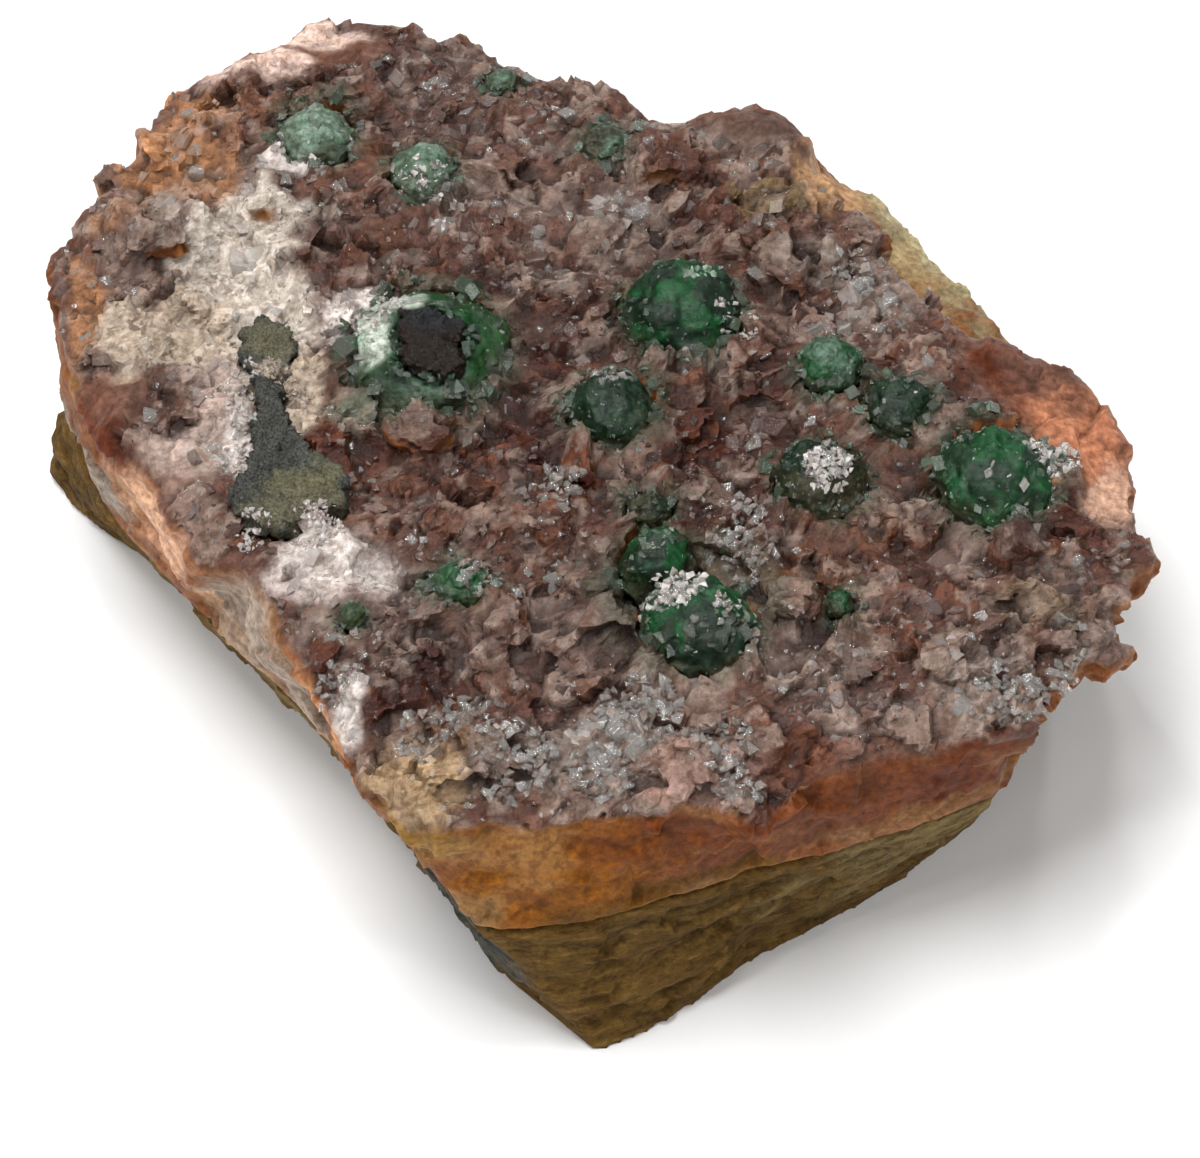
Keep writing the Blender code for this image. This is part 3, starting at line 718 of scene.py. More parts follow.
def stored(name, points, face_groups, colours=None, extras=None, smooth=True):
    """A new object in metres, with a colour named tint and any extra numbers for each point.

    smooth is one value, or one for each face.
    """
    mesh = bpy.data.meshes.new(name)
    fill_mesh(mesh, points * MM, *face_groups)
    mesh.polygons.foreach_set("use_smooth", np.zeros(len(mesh.polygons), bool) | smooth)
    if colours is not None:
        layer = mesh.attributes.new("tint", "FLOAT_COLOR", "POINT")
        values = np.ones((len(points), 4), np.float32)
        values[:, :3] = np.clip(colours, 0.0, 1.0)
        layer.data.foreach_set("color", values.ravel())
    for key, numbers in (extras or {}).items():
        layer = mesh.attributes.new(key, "FLOAT", "POINT")
        layer.data.foreach_set("value", np.ascontiguousarray(numbers, np.float32))
    thing = bpy.data.objects.new(name, mesh)
    bpy.context.scene.collection.objects.link(thing)
    return thing


def finished(thing, material, slot, *replaced):
    thing.data.materials.append(material)
    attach(thing, "root")
    if replaced:
        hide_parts(*replaced)


# Materials

class Nodes:
    """Short calls for building a node material."""

    def __init__(self, name):
        self.material = bpy.data.materials.new(name)
        self.material.use_nodes = True
        self.tree = self.material.node_tree
        self.shader = self.tree.nodes["Principled BSDF"]
        self.output = self.tree.nodes["Material Output"]

    def add(self, kind, **settings):
        node = self.tree.nodes.new(kind)
        for key, value in settings.items():
            setattr(node, key, value)
        return node

    def link(self, source, target):
        self.tree.links.new(source, target)

    def set(self, **values):
        for key, value in values.items():
            self.shader.inputs[key.replace("_", " ")].default_value = value

    def attribute(self, name):
        return self.add("ShaderNodeAttribute", attribute_name=name)

    def place(self, scale=1.0, stretch=(1.0, 1.0, 1.0)):
        """Object coordinates in millimetres, times scale, squeezed along each axis."""
        coordinates = self.add("ShaderNodeTexCoord")
        mapping = self.add("ShaderNodeMapping")
        mapping.inputs["Scale"].default_value = [s * scale / MM for s in stretch]
        self.link(coordinates.outputs["Object"], mapping.inputs["Vector"])
        return mapping.outputs["Vector"]

    def noise(self, vector, scale, detail=3.0, roughness=0.55):
        node = self.add("ShaderNodeTexNoise")
        node.inputs["Scale"].default_value = scale
        node.inputs["Detail"].default_value = detail
        node.inputs["Roughness"].default_value = roughness
        self.link(vector, node.inputs["Vector"])
        return node.outputs["Fac"]

    def cells(self, vector, scale):
        node = self.add("ShaderNodeTexVoronoi")
        node.inputs["Scale"].default_value = scale
        self.link(vector, node.inputs["Vector"])
        return node

    def remap(self, value, low, high, to_low, to_high):
        node = self.add("ShaderNodeMapRange")
        node.inputs["From Min"].default_value = low
        node.inputs["From Max"].default_value = high
        node.inputs["To Min"].default_value = to_low
        node.inputs["To Max"].default_value = to_high
        self.link(value, node.inputs["Value"])
        return node.outputs["Result"]

    def mix(self, share, first, second, blend="MIX"):
        node = self.add("ShaderNodeMix", data_type="RGBA", blend_type=blend)
        for value, socket in ((share, node.inputs[0]), (first, node.inputs[6]), (second, node.inputs[7])):
            if isinstance(value, (int, float)):
                socket.default_value = value
            elif isinstance(value, (tuple, list, np.ndarray)):
                socket.default_value = (*value[:3], 1.0)
            else:
                self.link(value, socket)
        return node.outputs[2]

    def bump(self, height, distance, strength=1.0):
        node = self.add("ShaderNodeBump")
        node.inputs["Strength"].default_value = strength
        node.inputs["Distance"].default_value = distance * MM
        self.link(height, node.inputs["Height"])
        self.link(node.outputs["Normal"], self.shader.inputs["Normal"])
        self.link(node.outputs["Normal"], self.shader.inputs["Coat Normal"])


def vein_material(name, smoothest, gloss, waxiness, grain):
    """Massive or drusy dolomite: the stored colour, mottled, and dull where it is chalky."""
    n = Nodes(name)
    tint = n.attribute("tint").outputs["Color"]
    fine = n.noise(n.place(), 1.6, 5.0, 0.65)
    darker = n.mix(1.0, tint, (0.66, 0.57, 0.52), "MULTIPLY")
    paler = n.mix(1.0, tint, (1.35, 1.33, 1.32), "MULTIPLY")
    n.link(n.mix(n.remap(fine, 0.38, 0.66, 0.0, 1.0), darker, paler), n.shader.inputs["Base Color"])
    n.link(n.remap(n.attribute("chalk").outputs["Fac"], 0.0, 1.0, smoothest, 0.9), n.shader.inputs["Roughness"])
    n.set(Subsurface_Weight=waxiness, Subsurface_Radius=(1.0, 0.55, 0.4), Subsurface_Scale=0.0012, IOR=1.55)
    n.set(Specular_IOR_Level=gloss)
    n.bump(n.noise(n.place(), 4.5, 4.0, 0.65), grain, 0.9)
    return n.material


def glassy_material(name, transmission, roughness):
    """Cloudy crystals that let light through, in the stored colour."""
    n = Nodes(name)
    tint = n.attribute("tint").outputs["Color"]
    cloud = n.noise(n.place(), 1.1, 4.0, 0.6)
    darker = n.mix(1.0, tint, (0.72, 0.62, 0.58), "MULTIPLY")
    n.link(n.mix(n.remap(cloud, 0.35, 0.65, 0.0, 1.0), tint, darker), n.shader.inputs["Base Color"])
    n.set(Roughness=roughness, IOR=1.55, Transmission_Weight=transmission, Coat_Weight=0.9, Coat_Roughness=0.05)
    n.bump(n.noise(n.place(), 5.0, 4.0, 0.65), 0.14, 0.9)
    return n.material


def clear_material():
    """Colourless glassy crystal with a faint grey body."""
    n = Nodes("clear_crystal")
    n.set(Base_Color=(0.94, 0.91, 0.87, 1.0), Roughness=0.05, IOR=1.55, Transmission_Weight=0.82)
    n.bump(n.noise(n.place(), 5.0, 3.0, 0.6), 0.08, 0.8)
    volume = n.add("ShaderNodeVolumeAbsorption")
    volume.inputs["Color"].default_value = (0.80, 0.74, 0.70, 1.0)
    volume.inputs["Density"].default_value = 90.0
    n.link(volume.outputs["Volume"], n.output.inputs["Volume"])
    return n.material


def rock_material():
    """Foliated siltstone: the stored colour in olive brown laminae with tan streaks and dark partings."""
    n = Nodes("wall_rock")
    tint = n.attribute("tint").outputs["Color"]
    layered = n.noise(n.place(stretch=(0.45, 0.45, 1.7)), 0.8, 6.0, 0.72)
    grain = n.noise(n.place(), 2.2, 4.0, 0.7)
    dark = n.mix(1.0, tint, (0.42, 0.40, 0.36), "MULTIPLY")
    tan = n.mix(0.45, tint, linear("rocktan"))
    body = n.mix(n.remap(layered, 0.36, 0.50, 0.0, 1.0), dark, tint)
    body = n.mix(n.remap(layered, 0.54, 0.70, 0.0, 1.0), body, tan)
    speckled = n.mix(1.0, body, (0.45, 0.43, 0.38), "MULTIPLY")
    n.link(n.mix(n.remap(grain, 0.45, 0.70, 0.0, 0.8), body, speckled), n.shader.inputs["Base Color"])
    n.set(Roughness=0.75, IOR=1.5, Specular_IOR_Level=0.12)
    n.bump(n.mix(0.5, grain, layered), 0.35, 0.9)
    return n.material


def dark_material(name, roughness, gloss, speckle):
    """Charcoal and olive granular stone, coloured by the stored colour."""
    n = Nodes(name)
    tint = n.attribute("tint").outputs["Color"]
    grain = n.noise(n.place(), 4.5, 5.0, 0.75)
    darker = n.mix(1.0, tint, (0.45, 0.45, 0.45), "MULTIPLY")
    paler = n.mix(speckle, tint, (0.75, 0.72, 0.6))
    n.link(n.mix(n.remap(grain, 0.38, 0.66, 0.0, 1.0), darker, paler), n.shader.inputs["Base Color"])
    n.set(Roughness=roughness, IOR=1.5, Specular_IOR_Level=gloss)
    n.bump(grain, 0.2, 0.9)
    return n.material


def malachite_material():
    """Silky malachite: the stored green, streaked darker and lighter."""
    n = Nodes("malachite")
    tint = n.attribute("tint").outputs["Color"]
    streak = n.noise(n.place(), 1.6, 5.0, 0.7)
    darker = n.mix(1.0, tint, (0.30, 0.36, 0.30), "MULTIPLY")
    paler = n.mix(1.0, tint, (1.7, 1.65, 1.6), "MULTIPLY")
    n.link(n.mix(n.remap(streak, 0.35, 0.65, 0.0, 1.0), darker, paler), n.shader.inputs["Base Color"])
    n.set(Roughness=0.34, IOR=1.62, Specular_IOR_Level=0.22)
    n.bump(streak, 0.15, 0.9)
    return n.material


# The pieces

BALL_NAMES = [f"malachite_ball_{i + 1:02d}" for i in range(len(BALL_LOOKS))]


def middle_and_half(name):
    low, high = (np.array(corner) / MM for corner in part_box(name))
    return (low + high) / 2, (high - low) / 2


BALLS = [middle_and_half(name) for name in BALL_NAMES]


def outside_balls(points):
    """How far each point is outside the nearest malachite ball, seen from above."""
    gaps = [np.linalg.norm(points[:, :2] - centre[:2], axis=1) - half[:2].max() for centre, half in BALLS]
    return np.min(gaps, axis=0)


def tree_of(points, faces):
    return BVHTree.FromPolygons([Vector(p) for p in points], faces.tolist())


def extra_rhombs(cad, rng):
    """Rhombs between those of the CAD, so that the crust is uneven at every size."""
    tree = tree_of(*cad)
    low, high = middle_and_half("dolomite_vein")[0] - 43.0, middle_and_half("dolomite_vein")[0] + 43.0
    xs, ys = np.meshgrid(np.arange(low[0], high[0], 3.4), np.arange(low[1], high[1], 3.4))
    spots = np.column_stack([xs.ravel(), ys.ravel(), np.full(xs.size, RIM_Z)])
    spots[:, :2] += rng.uniform(-1.5, 1.5, (len(spots), 2))
    spots = spots[(outside_balls(spots) > 0.5) & (drusy(spots) > 0.5)]
    shape_points, shape_faces = rhomb_shape(0.0)
    parts = []
    for spot in spots:
        hit = tree.ray_cast(Vector((spot[0], spot[1], 60.0)), Vector((0, 0, -1)))[0]
        if hit is None or hit.z < RIM_Z - 1.0:
            continue
        size = rng.uniform(1.8, 4.4)
        sink = Vector((0.0, 0.0, rng.uniform(0.30, 0.60) * size))
        turned = (shape_points * size * rng.uniform(0.8, 1.25, 3)) @ turns(1, rng)[0].T
        parts.append((turned + np.array(hit - sink), shape_faces))
    return parts


def on_top(points, wide_normals):
    """1 on the upper face of the vein, 0 on its sides."""
    return smoothstep(22.0, 23.6, points[:, 2]) * smoothstep(0.15, 0.5, wide_normals[:, 2])


def blended(colour, name, share):
    share = share[:, None]
    return colour * (1.0 - share) + linear(name) * share


def banded(colour, number, bands, share):
    """The colour changed for those flats whose random number lies in a band."""
    for name, low, high, strength in bands:
        inside = smoothstep(low - 0.03, low + 0.03, number) * (1.0 - smoothstep(high - 0.03, high + 0.03, number))
        colour = blended(colour, name, inside * strength * share)
    return colour


def rustiness(points):
    share = np.full(len(points), 0.40)
    for i, (centre, half) in enumerate(RUSTY_PLACES):
        share = np.maximum(share, patch_weight(points, centre, half, 340 + 3 * i))
    return share


def vein_colour(points, coarse_number, fine_number, hollow, narrow, top):
    colour = patched(points, "default", TOP_PATCHES)
    plain = (1.0 - smoothstep(0.24, 0.42, colour.mean(axis=1))) * drusy(points)
    rusty = plain * rustiness(points)
    colour = banded(colour, coarse_number, RUST_BANDS, rusty)
    colour = banded(colour, fine_number, RUST_BANDS, 0.7 * rusty)
    colour = banded(colour, fine_number, MILK_BANDS, plain)
    colour = banded(colour, coarse_number, MILK_BANDS, 0.8 * plain)
    colour = colour * (1.0 - RUST_SHADE * rusty)[:, None]
    cloud = 1.0 + 0.16 * fractal(points, 5.0, 91) + 0.12 * fractal(points, 1.1, 92)
    shade = 0.16 * (coarse_number - 0.5) + 0.20 * (fine_number - 0.5)
    # The narrow term paints shade into the small hollows and light onto the small ridges
    colour = colour * (cloud + shade - 0.10 * narrow)[:, None]
    near = 1.0 - smoothstep(0.0, 1.7, outside_balls(points) + 0.9 * fractal(points, 1.4, 62))
    colour = blended(colour, "collar", near * (0.1 + 0.5 * plain))
    # Painted shade darkens the hollows, together with the rust-brown stain of the cracks
    crease_shade_and_rust = np.clip(hollow * 1.4, 0.0, 1.0) * (0.25 + 0.65 * plain)
    colour = blended(colour, "crease_shade_and_rust", crease_shade_and_rust)
    side = patched(points, "face", SIDE_PATCHES)
    streak = 1.0 + 0.20 * noise(points, (9.0, 9.0, 0.8), 77) + 0.16 * fractal(points, 2.4, 78)
    # The narrow term is painted shade in small hollows and painted light on small ridges of the sides
    side = side * (streak - 0.12 * narrow)[:, None]
    side = blended(side, "sideveil", 0.40 * smoothstep(0.05, 0.75, fractal(points, (6.0, 6.0, 2.5), 79)))
    side = blended(side, "sidedark", 0.40 * smoothstep(0.15, 0.85, fractal(points, (4.0, 4.0, 2.0), 83)))
    return colour * top[:, None] + side * (1.0 - top[:, None])


def grown_round_balls(points):
    """How the crust shifts to close up round the foot of each ball."""
    shift = np.zeros_like(points)
    uneven = 0.8 + 0.45 * fractal(points, 1.8, 61)
    for centre, half in BALLS:
        away = points[:, :2] - centre[:2]
        distance = np.linalg.norm(away, axis=1)
        gap = distance - half[:2].max()
        near = smoothstep(-0.7, 0.1, gap) * (1.0 - smoothstep(0.5, 2.8, gap)) * uneven
        near *= smoothstep(RIM_Z - 2.5, RIM_Z - 0.5, points[:, 2])
        reach = min(1.0, half[2] / 3.0)
        shift[:, 2] += near * SKIRT_RISE * reach
        shift[:, :2] -= away / distance[:, None] * (near * SKIRT_CLOSING * reach)[:, None]
    return shift


def dolomite_vein(drusy_stone, massive_stone):
    """Massive dolomite with its druse: remeshed rhombs broken up into smaller flats."""
    cad = node_arrays("dolomite_vein")
    rhombs = extra_rhombs(cad, np.random.default_rng(5))
    points, faces = remeshed(*joined([cad] + rhombs), VEIN_VOXEL)
    seam = SEAM_Z + SEAM_TILT * points[:, 0]
    surface = Surface(*without_hidden(points, faces, points[:, 2] < seam + 0.25))
    surface.soften(1)
    top = on_top(surface.points, surface.averaged(surface.normals(), 14))
    druse = top * drusy(surface.points)
    bare = (top - druse)[:, None]
    surface.points = surface.points * (1.0 - bare) + surface.averaged(surface.points, 50) * bare
    normals = surface.averaged(surface.normals(), 3)
    coarse, coarse_number = facets(surface.points, 3.2, 0.15, 1)
    fine, fine_number = facets(surface.points, 1.3, 0.12, 2)
    broken, _ = facets(surface.points, 4.5, 0.10, 3)
    chipped, _ = facets(surface.points, 1.7, 0.07, 4)
    grain = 0.05 * fractal(surface.points, 0.9, 8)
    surface.points = surface.points + grown_round_balls(surface.points)
    seam = SEAM_Z + SEAM_TILT * surface.points[:, 0]
    off_seam = smoothstep(0.0, 1.6, surface.points[:, 2] - seam)
    surface.push(druse * (coarse + fine) + (1.0 - druse) * off_seam * (broken + chipped + grain), normals)
    # hollow drives the painted shade and rust stain in the cracks
    hollow = surface.hollowness(16, 0.45)
    # narrow serves only for painted shade in small hollows and painted light on small ridges
    narrow = surface.hollowness(3, 0.10)
    colour = vein_colour(surface.points, coarse_number, fine_number, hollow, narrow, top)
    extras = {"chalk": chalkiness(surface.points) * top}
    massive = np.concatenate([druse[surface.faces].mean(axis=1), np.zeros(len(surface.fan))]) < 0.5
    groups = (surface.faces, surface.fan)
    thing = stored("dolomite_vein_surface", surface.points, groups, colour, extras, smooth=massive)
    finished(thing, drusy_stone, "dolomite", "dolomite_vein")
    thing.data.materials.append(massive_stone)
    thing.data.polygons.foreach_set("material_index", massive.astype(np.int32))
    return surface


def wall_rock(material):
    """Foliated wall rock with a rough broken outside and a plain foot."""
    points, faces = remeshed(*node_arrays("wall_rock"), ROCK_VOXEL)
    seam = SEAM_Z + SEAM_TILT * points[:, 0]
    inner = np.linalg.norm(points[:, :2] - points[:, :2].mean(axis=0), axis=1) < 24.0
    surface = Surface(*without_hidden(points, faces, (points[:, 2] > seam - 1.2) & inner))
    normals = surface.averaged(surface.normals(), 2)
    off_foot = smoothstep(0.1, 1.2, surface.points[:, 2])
    off_foot *= smoothstep(0.0, 1.6, SEAM_Z + SEAM_TILT * surface.points[:, 0] - surface.points[:, 2])
    upright = 1.0 - np.abs(normals[:, 2])
    layers = noise(surface.points, (9.0, 9.0, 1.1), 31) * 0.16
    layers += noise(surface.points, (3.5, 3.5, 0.8), 32) * 0.12
    chips, _ = facets(surface.points * np.array([1.0, 1.0, 2.2]), 3.6, 0.10, 6)
    surface.push(off_foot * ((layers + chips) * upright + fractal(surface.points, 1.0, 33) * 0.10), normals)
    surface.points[:, 2] = np.maximum(surface.points[:, 2], 0.0)
    hollow = surface.hollowness(6, 0.22)
    # shade is painted shade in the hollows and painted light on the ridges, plus random tone from the noise
    shade = 1.0 - 0.35 * np.clip(hollow, -0.6, 1.0) + 0.14 * fractal(surface.points, 6.0, 34)
    colour = patched(surface.points, "rock", ROCK_PATCHES) * shade[:, None]
    thing = stored("wall_rock_surface", surface.points, (surface.faces, surface.fan), colour)
    finished(thing, material, "wall_rock", "wall_rock")
    return surface


def small_piece(node, voxel, flat, slope, start, patches, material, slot):
    """A small dark piece: remeshed, broken into flats, coloured in patches."""
    points, faces = remeshed(*node_arrays(node), voxel)
    surface = Surface(points, faces)
    chips, _ = facets(surface.points, flat, slope, 12)
    grain, _ = facets(surface.points, flat * 0.4, slope, 13)
    surface.push(chips * 1.6 + grain * 1.6 + 0.05 * fractal(surface.points, 0.6, 51))
    colour = patched(surface.points, start, patches)
    colour = colour * (1.0 + 0.22 * fractal(surface.points, 0.9, 52))[:, None]
    finished(stored(node + "_surface", surface.points, (surface.faces,), colour), material, slot, node)
    return surface


def ball_colour(index, points):
    first, second, _ = BALL_LOOKS[index]
    share = smoothstep(-0.25, 0.35, fractal(points, 1.8, 400 + index))[:, None]
    colour = linear(first) * (1.0 - share) + linear(second) * share
    if index == BROKEN_BALL:
        for k, (name, away, half) in enumerate(BROKEN_BALL_PATCHES):
            place = BALLS[index][0][:2] + np.array(away)
            weight = patch_weight(points, place, half, 420 + 3 * k)[:, None]
            colour = colour * (1.0 - weight) + linear(name) * weight
    return colour


def malachite_ball(index, silky, glassy):
    """A ball of silky malachite under a coat of small glassy crystals."""
    name = BALL_NAMES[index]
    half = BALLS[index][1][0]
    rng = np.random.default_rng(500 + index)
    surface = Surface(*remeshed(*node_arrays(name), max(0.1, 0.045 * half)))
    lumps, _ = facets(surface.points, max(0.7, half * 0.45), 0.13, 600 + index)
    fine, _ = facets(surface.points, max(0.35, half * 0.11), 0.12, 650 + index)
    surface.push(lumps)
    surface.soften(3)
    surface.push(fine)
    surface.soften(1)
    colour = ball_colour(index, surface.points)
    foot = 1.0 - smoothstep(RIM_Z + 0.4, RIM_Z + 2.6, surface.points[:, 2] + 0.8 * fractal(surface.points, 1.5, 71))
    colour = blended(colour, "skirt", 0.75 * foot)
    # Painted shade in the ball's hollows and painted light on its bumps
    colour = colour * (1.0 - 0.45 * np.clip(surface.hollowness(6, 0.12), -0.3, 1.0))[:, None]
    finished(stored(name + "_surface", surface.points, (surface.faces,), colour), silky, "malachite", name)
    upper = (surface.normals()[:, 2] > 0.05) & (surface.points[:, 2] > RIM_Z - 1.0)
    if index == BROKEN_BALL:
        away = (surface.points[:, :2] - np.array(CORE_CENTRE)) / np.array(CORE_HALF)
        upper &= np.linalg.norm(away, axis=1) > 1.0
    chosen = spread(surface, upper, 0.55 + 0.06 * half, rng)
    sizes = rng.uniform(0.0, 1.0, len(chosen)) ** 2.0 * (0.40 + 0.06 * half) + 0.18
    places = surface.points[chosen] - surface.normals()[chosen] * sizes[:, None] * 0.22
    tints = ball_colour(index, places) ** 0.7 * rng.uniform(0.75, 1.1, (len(chosen), 1))
    grey = rng.random(len(chosen)) < BALL_LOOKS[index][2]
    pale = rng.uniform(0.1, 0.9, (grey.sum(), 1)) ** 2.0
    tints[grey] = tints[grey] * (1.0 - pale) + linear("glasswhite") * pale
    points, faces, tints = crystals(places, sizes, tints, SMALL_SHAPES, rng)
    coat = stored(name + "_crystals", points, (faces,), tints, smooth=False)
    finished(coat, glassy, "malachite")
    return surface


def glassiness(points):
    """1 where the druse is clear and glassy, 0 where it is cloudy."""
    share = np.zeros(len(points))
    for centre, radius, amount in GLASSY_PLACES:
        away = np.linalg.norm(points[:, :2] - np.array(centre), axis=1) / radius
        share = np.maximum(share, amount * (1.0 - smoothstep(0.5, 1.1, away)))
    return share


def druse_crystals(vein, kinds):
    """Crystals over the crust, in four sizes, cloudy, clear and white."""
    rng = np.random.default_rng(21)
    wide = vein.averaged(vein.normals(), 40)
    normals = vein.averaged(vein.normals(), 1)
    glassy = glassiness(vein.points)
    chalk = chalkiness(vein.points)
    away = outside_balls(vein.points)
    cover = np.maximum(CHIP_COVER, glassy) * drusy(vein.points)
    for label, spacing, smallest, largest, shapes, least_up, more, depth in DRUSE_SIZES:
        free = (away > 0.0) & (vein.points[:, 2] > RIM_Z - 2.5) & (wide[:, 2] > least_up) & (normals[:, 2] > 0.1)
        chosen = spread(vein, free, spacing, rng)
        chosen = chosen[rng.random(len(chosen)) < cover[chosen] * more]
        sizes = rng.uniform(0.0, 1.0, len(chosen)) ** 1.6 * (largest - smallest) + smallest
        sink = rng.uniform(0.75, 1.2, len(chosen)) * depth * sizes
        places = vein.points[chosen] - normals[chosen] * sink[:, None]
        colour = patched(places, "default", TOP_PATCHES, 0.95)
        plain = 1.0 - smoothstep(0.24, 0.42, colour.mean(axis=1))
        rusty = plain * rustiness(places)
        number = rng.random(len(chosen))
        colour = banded(colour, number, RUST_BANDS, rusty)
        colour = banded(colour, number, MILK_BANDS, plain)
        colour = colour ** CHIP_GAMMA * (rng.uniform(0.72, 1.12, len(chosen)) * (1.0 - RUST_SHADE * rusty))[:, None]
        grey = (glassy[chosen] * rng.uniform(0.15, 1.0, len(chosen)))[:, None]
        colour = colour * (1.0 - grey) + linear("glassgrey") * grey
        dice = rng.random(len(chosen))
        is_white = chalk[chosen] > dice + 0.15
        is_clear = (rng.random(len(chosen)) < CLEAR_SHARE + 0.38 * glassy[chosen]) & ~is_white
        for key, picked in (("milky", ~is_clear & ~is_white), ("clear", is_clear), ("white", is_white)):
            if not picked.any():
                continue
            material, slot = kinds[key]
            points, faces, tints = crystals(places[picked], sizes[picked], colour[picked], shapes, rng)
            finished(stored(f"{key}_crystals_{label}", points, (faces,), tints, smooth=False), material, slot)


def collars(tree, material):
    """Clear grey crystals that grow up round the foot of each ball."""
    rng = np.random.default_rng(27)
    places = []
    sizes = []
    for centre, half in BALLS:
        count = int(2.0 * math.pi * half[0] * COLLAR_CROWD) + 6
        angle = rng.uniform(0.0, 2.0 * math.pi, count)
        away = half[0] * rng.uniform(0.80, 1.06, count) + rng.uniform(-0.1, 0.9, count)
        for turn, distance in zip(angle, away):
            above = Vector((centre[0] + distance * math.cos(turn), centre[1] + distance * math.sin(turn), 60.0))
            hit = tree.ray_cast(above, Vector((0, 0, -1)))[0]
            if hit is not None and hit.z > RIM_Z - 3.5:
                size = rng.uniform(0.45, 0.75) + 0.09 * half[0]
                places.append(np.array(hit) - np.array((0.0, 0.0, rng.uniform(0.08, 0.36) * size)))
                sizes.append(size)
    places = np.array(places)
    sizes = np.array(sizes)
    share = rng.uniform(0.0, 1.0, (len(places), 1))
    tints = (linear("greygreen") * share + linear("collar") * (1.0 - share)) * rng.uniform(0.7, 1.2, (len(places), 1))
    points, faces, tints = crystals(places, sizes, tints, SMALL_SHAPES, rng)
    finished(stored("ball_collars", points, (faces,), tints, smooth=False), material, "malachite")


def core_rim(tree, material):
    """Green crystals that lap over the edge of the dark core and break up its outline."""
    rng = np.random.default_rng(29)
    angle = rng.uniform(0.0, 2.0 * math.pi, CORE_RIM_COUNT)
    out = rng.uniform(0.82, 1.12, CORE_RIM_COUNT) + 0.12 * np.sin(angle * 5.0 + 1.0)
    places = []
    for turn, share in zip(angle, out):
        x = CORE_CENTRE[0] + CORE_HALF[0] * share * math.cos(turn)
        y = CORE_CENTRE[1] + CORE_HALF[1] * share * math.sin(turn)
        hit = tree.ray_cast(Vector((x, y, 60.0)), Vector((0, 0, -1)))[0]
        places.append((x, y, max(hit.z, CORE_TOP) + rng.uniform(-0.2, 0.05)))
    places = np.array(places)
    sizes = rng.uniform(0.4, 1.0, CORE_RIM_COUNT)
    share = rng.random((CORE_RIM_COUNT, 1))
    tints = (linear("leaf") * share + linear("greyleaf") * (1.0 - share)) * rng.uniform(0.7, 1.2, (CORE_RIM_COUNT, 1))
    points, faces, tints = crystals(places, sizes, tints, SMALL_SHAPES, rng)
    finished(stored("core_rim_crystals", points, (faces,), tints, smooth=False), material, "malachite")


def clumps(tree, kinds):
    """Small heaps of crystals that have a colour of their own."""
    rng = np.random.default_rng(33)
    groups = {"cloudy": [], "clear": []}
    for colour, centre, radius, count, size in CLUMPS:
        angle = rng.uniform(0.0, 2.0 * math.pi, count)
        away = radius * np.sqrt(rng.random(count))
        xs = centre[0] + away * np.cos(angle)
        ys = centre[1] + away * np.sin(angle)
        hits = [tree.ray_cast(Vector((x, y, 60.0)), Vector((0, 0, -1)))[0] for x, y in zip(xs, ys)]
        places = np.array([hit for hit in hits if hit is not None and hit.z > RIM_Z - 1.2])
        count = len(places)
        places[:, 2] += rng.uniform(-0.25, 0.25, count) * size
        sizes = rng.uniform(0.5, 1.1, count) * size
        tints = np.tile(linear(colour), (count, 1)) * rng.uniform(0.75, 1.15, (count, 1))
        is_clear = rng.random(count) < CLEAR_CLUMP_SHARES.get(colour, 0.0)
        groups["cloudy"].append(crystals(places[~is_clear], sizes[~is_clear], tints[~is_clear], CHIP_SHAPES, rng))
        if is_clear.any():
            groups["clear"].append(crystals(places[is_clear], sizes[is_clear], tints[is_clear], CHIP_SHAPES, rng))
    for label, heaps in groups.items():
        material, slot = kinds["white" if label == "cloudy" else "clear"]
        points, faces = joined([heap[:2] for heap in heaps])
        tints = np.concatenate([heap[2] for heap in heaps])
        finished(stored(f"{label}_clumps", points, (faces,), tints, smooth=False), material, slot)


# Light, floor and camera

def area_light(name, place, target, size, power, colour=(1.0, 1.0, 1.0)):
    lamp = bpy.data.lights.new(name, "AREA")
    lamp.shape = "RECTANGLE"
    lamp.size, lamp.size_y = size
    lamp.energy = power
    lamp.color = colour
    thing = bpy.data.objects.new(name, lamp)
    thing.location = place
    thing.rotation_euler = (Vector(target) - Vector(place)).to_track_quat("-Z", "Y").to_euler()
    bpy.context.scene.collection.objects.link(thing)


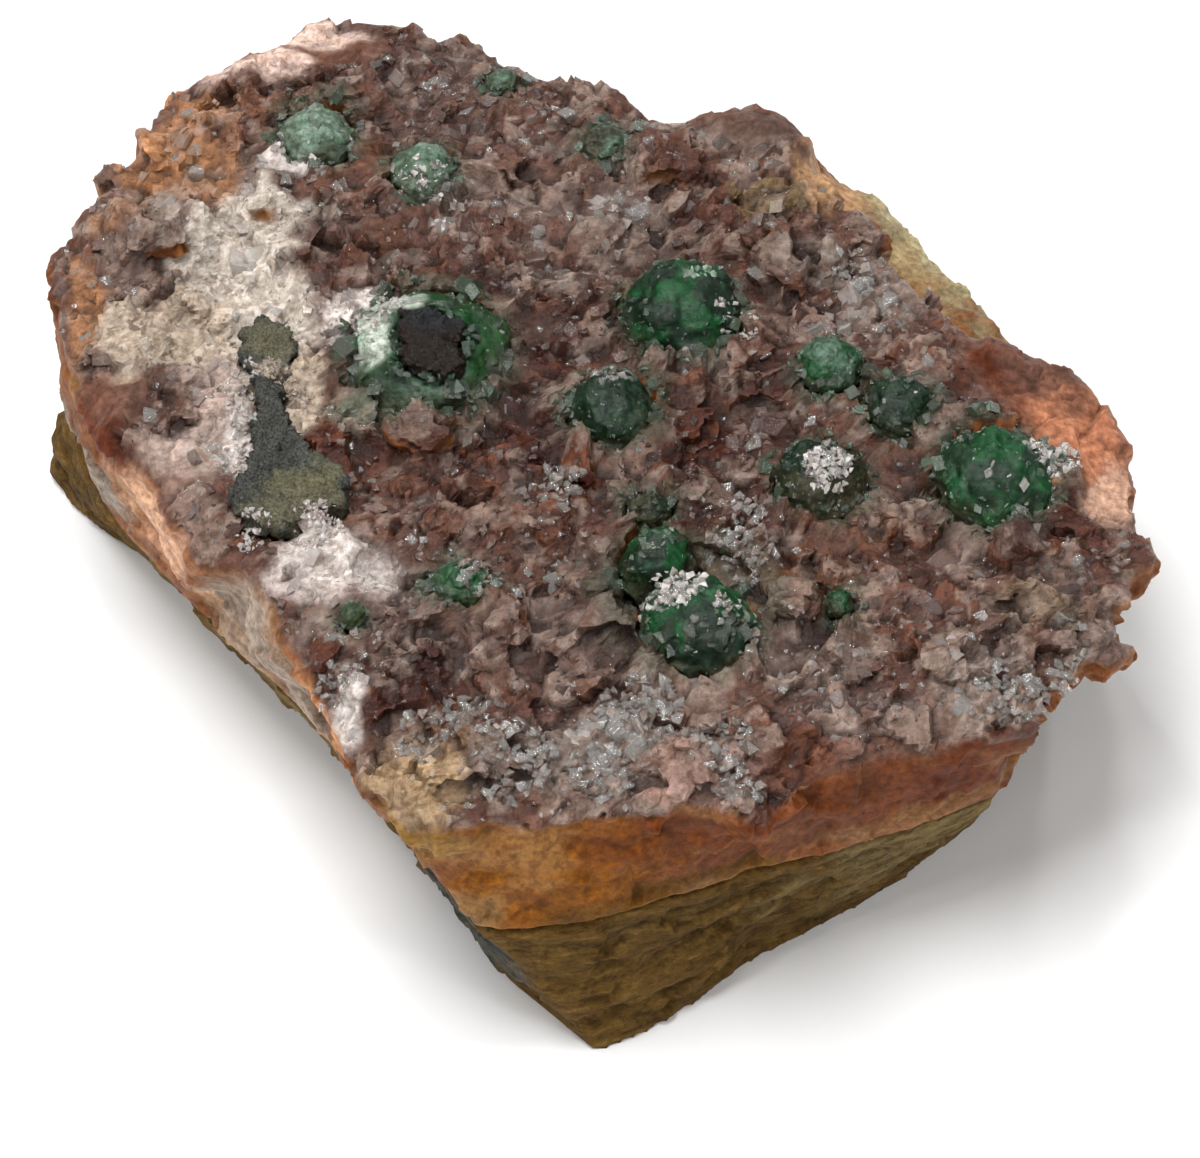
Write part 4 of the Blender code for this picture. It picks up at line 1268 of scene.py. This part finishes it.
def studio():
    world = bpy.data.worlds.new("studio")
    world.use_nodes = True
    world.node_tree.nodes["Background"].inputs["Color"].default_value = (1.0, 1.0, 1.0, 1.0)
    world.node_tree.nodes["Background"].inputs["Strength"].default_value = 0.10
    bpy.context.scene.world = world
    area_light("overhead", (-0.12, -0.06, 0.60), (0, 0, 0), (0.28, 0.22), 3.0)
    for i, place in enumerate(SPARKLE_PLACES):
        area_light(f"sparkle_{i + 1}", place, (0, 0, 0.02), (SPARKLE_SIZE, SPARKLE_SIZE), SPARKLE_POWER)
    area_light("front_fill", (-0.15, -0.55, 0.30), (0, 0, 0.01), (0.5, 0.3), 0.95)
    half = 3.0
    corners = [(-half, -half, 0), (half, -half, 0), (half, half, 0), (-half, half, 0)]
    mesh = bpy.data.meshes.new("floor")
    mesh.from_pydata(corners, [], [(0, 1, 2, 3)])
    floor = bpy.data.objects.new("floor", mesh)
    bpy.context.scene.collection.objects.link(floor)
    n = Nodes("floor")
    n.set(Base_Color=(0.93, 0.93, 0.93, 1.0), Roughness=0.8)
    mesh.materials.append(n.material)
    bpy.context.scene.view_settings.view_transform = "Standard"


def camera():
    data = bpy.data.cameras.new("camera")
    data.sensor_width = SENSOR
    data.lens = LENS
    data.clip_start = 0.01
    thing = bpy.data.objects.new("camera", data)
    target = Vector(LOOK_AT) * MM
    back = Vector((0.0, -math.cos(LOOK_DOWN), math.sin(LOOK_DOWN)))
    thing.location = target + back * LOOK_FROM * MM
    thing.rotation_euler = (math.pi / 2 - LOOK_DOWN, 0.0, 0.0)
    bpy.context.scene.collection.objects.link(thing)
    bpy.context.scene.camera = thing


def main():
    camera()
    studio()
    silky = malachite_material()
    green_glassy = glassy_material("green_crystal", 0.3, 0.2)
    milky = glassy_material("dolomite_crystal", 0.25, 0.18)
    drusy_stone = vein_material("drusy_dolomite", 0.25, 0.30, 0.0, 0.18)
    massive_stone = vein_material("massive_dolomite", 0.5, 0.12, 0.35, 0.08)
    vein = dolomite_vein(drusy_stone, massive_stone)
    wall_rock(rock_material())
    sliver = small_piece("wall_rock_sliver", SLIVER_VOXEL, 1.1, 0.20, "slate", SLIVER_PATCHES,
                         dark_material("dark_wall_rock", 0.8, 0.15, 0.14), "dark_wall_rock")
    small_piece("dark_core", CORE_VOXEL, 0.9, 0.22, "coredark", CORE_PATCHES,
                dark_material("dark_core", 0.3, 0.30, 0.02), "dark_core")
    balls = [malachite_ball(i, silky, green_glassy) for i in range(len(BALLS))]
    white = glassy_material("white_crystal", 0.25, 0.15)
    kinds = {"milky": (milky, "dolomite"), "clear": (clear_material(), "clear_crystal"), "white": (white, "dolomite")}
    druse_crystals(vein, kinds)
    tree = tree_of(*joined([(s.points, s.faces) for s in [vein, sliver] + balls]))
    collars(tree, green_glassy)
    core_rim(tree, green_glassy)
    clumps(tree, kinds)


main()
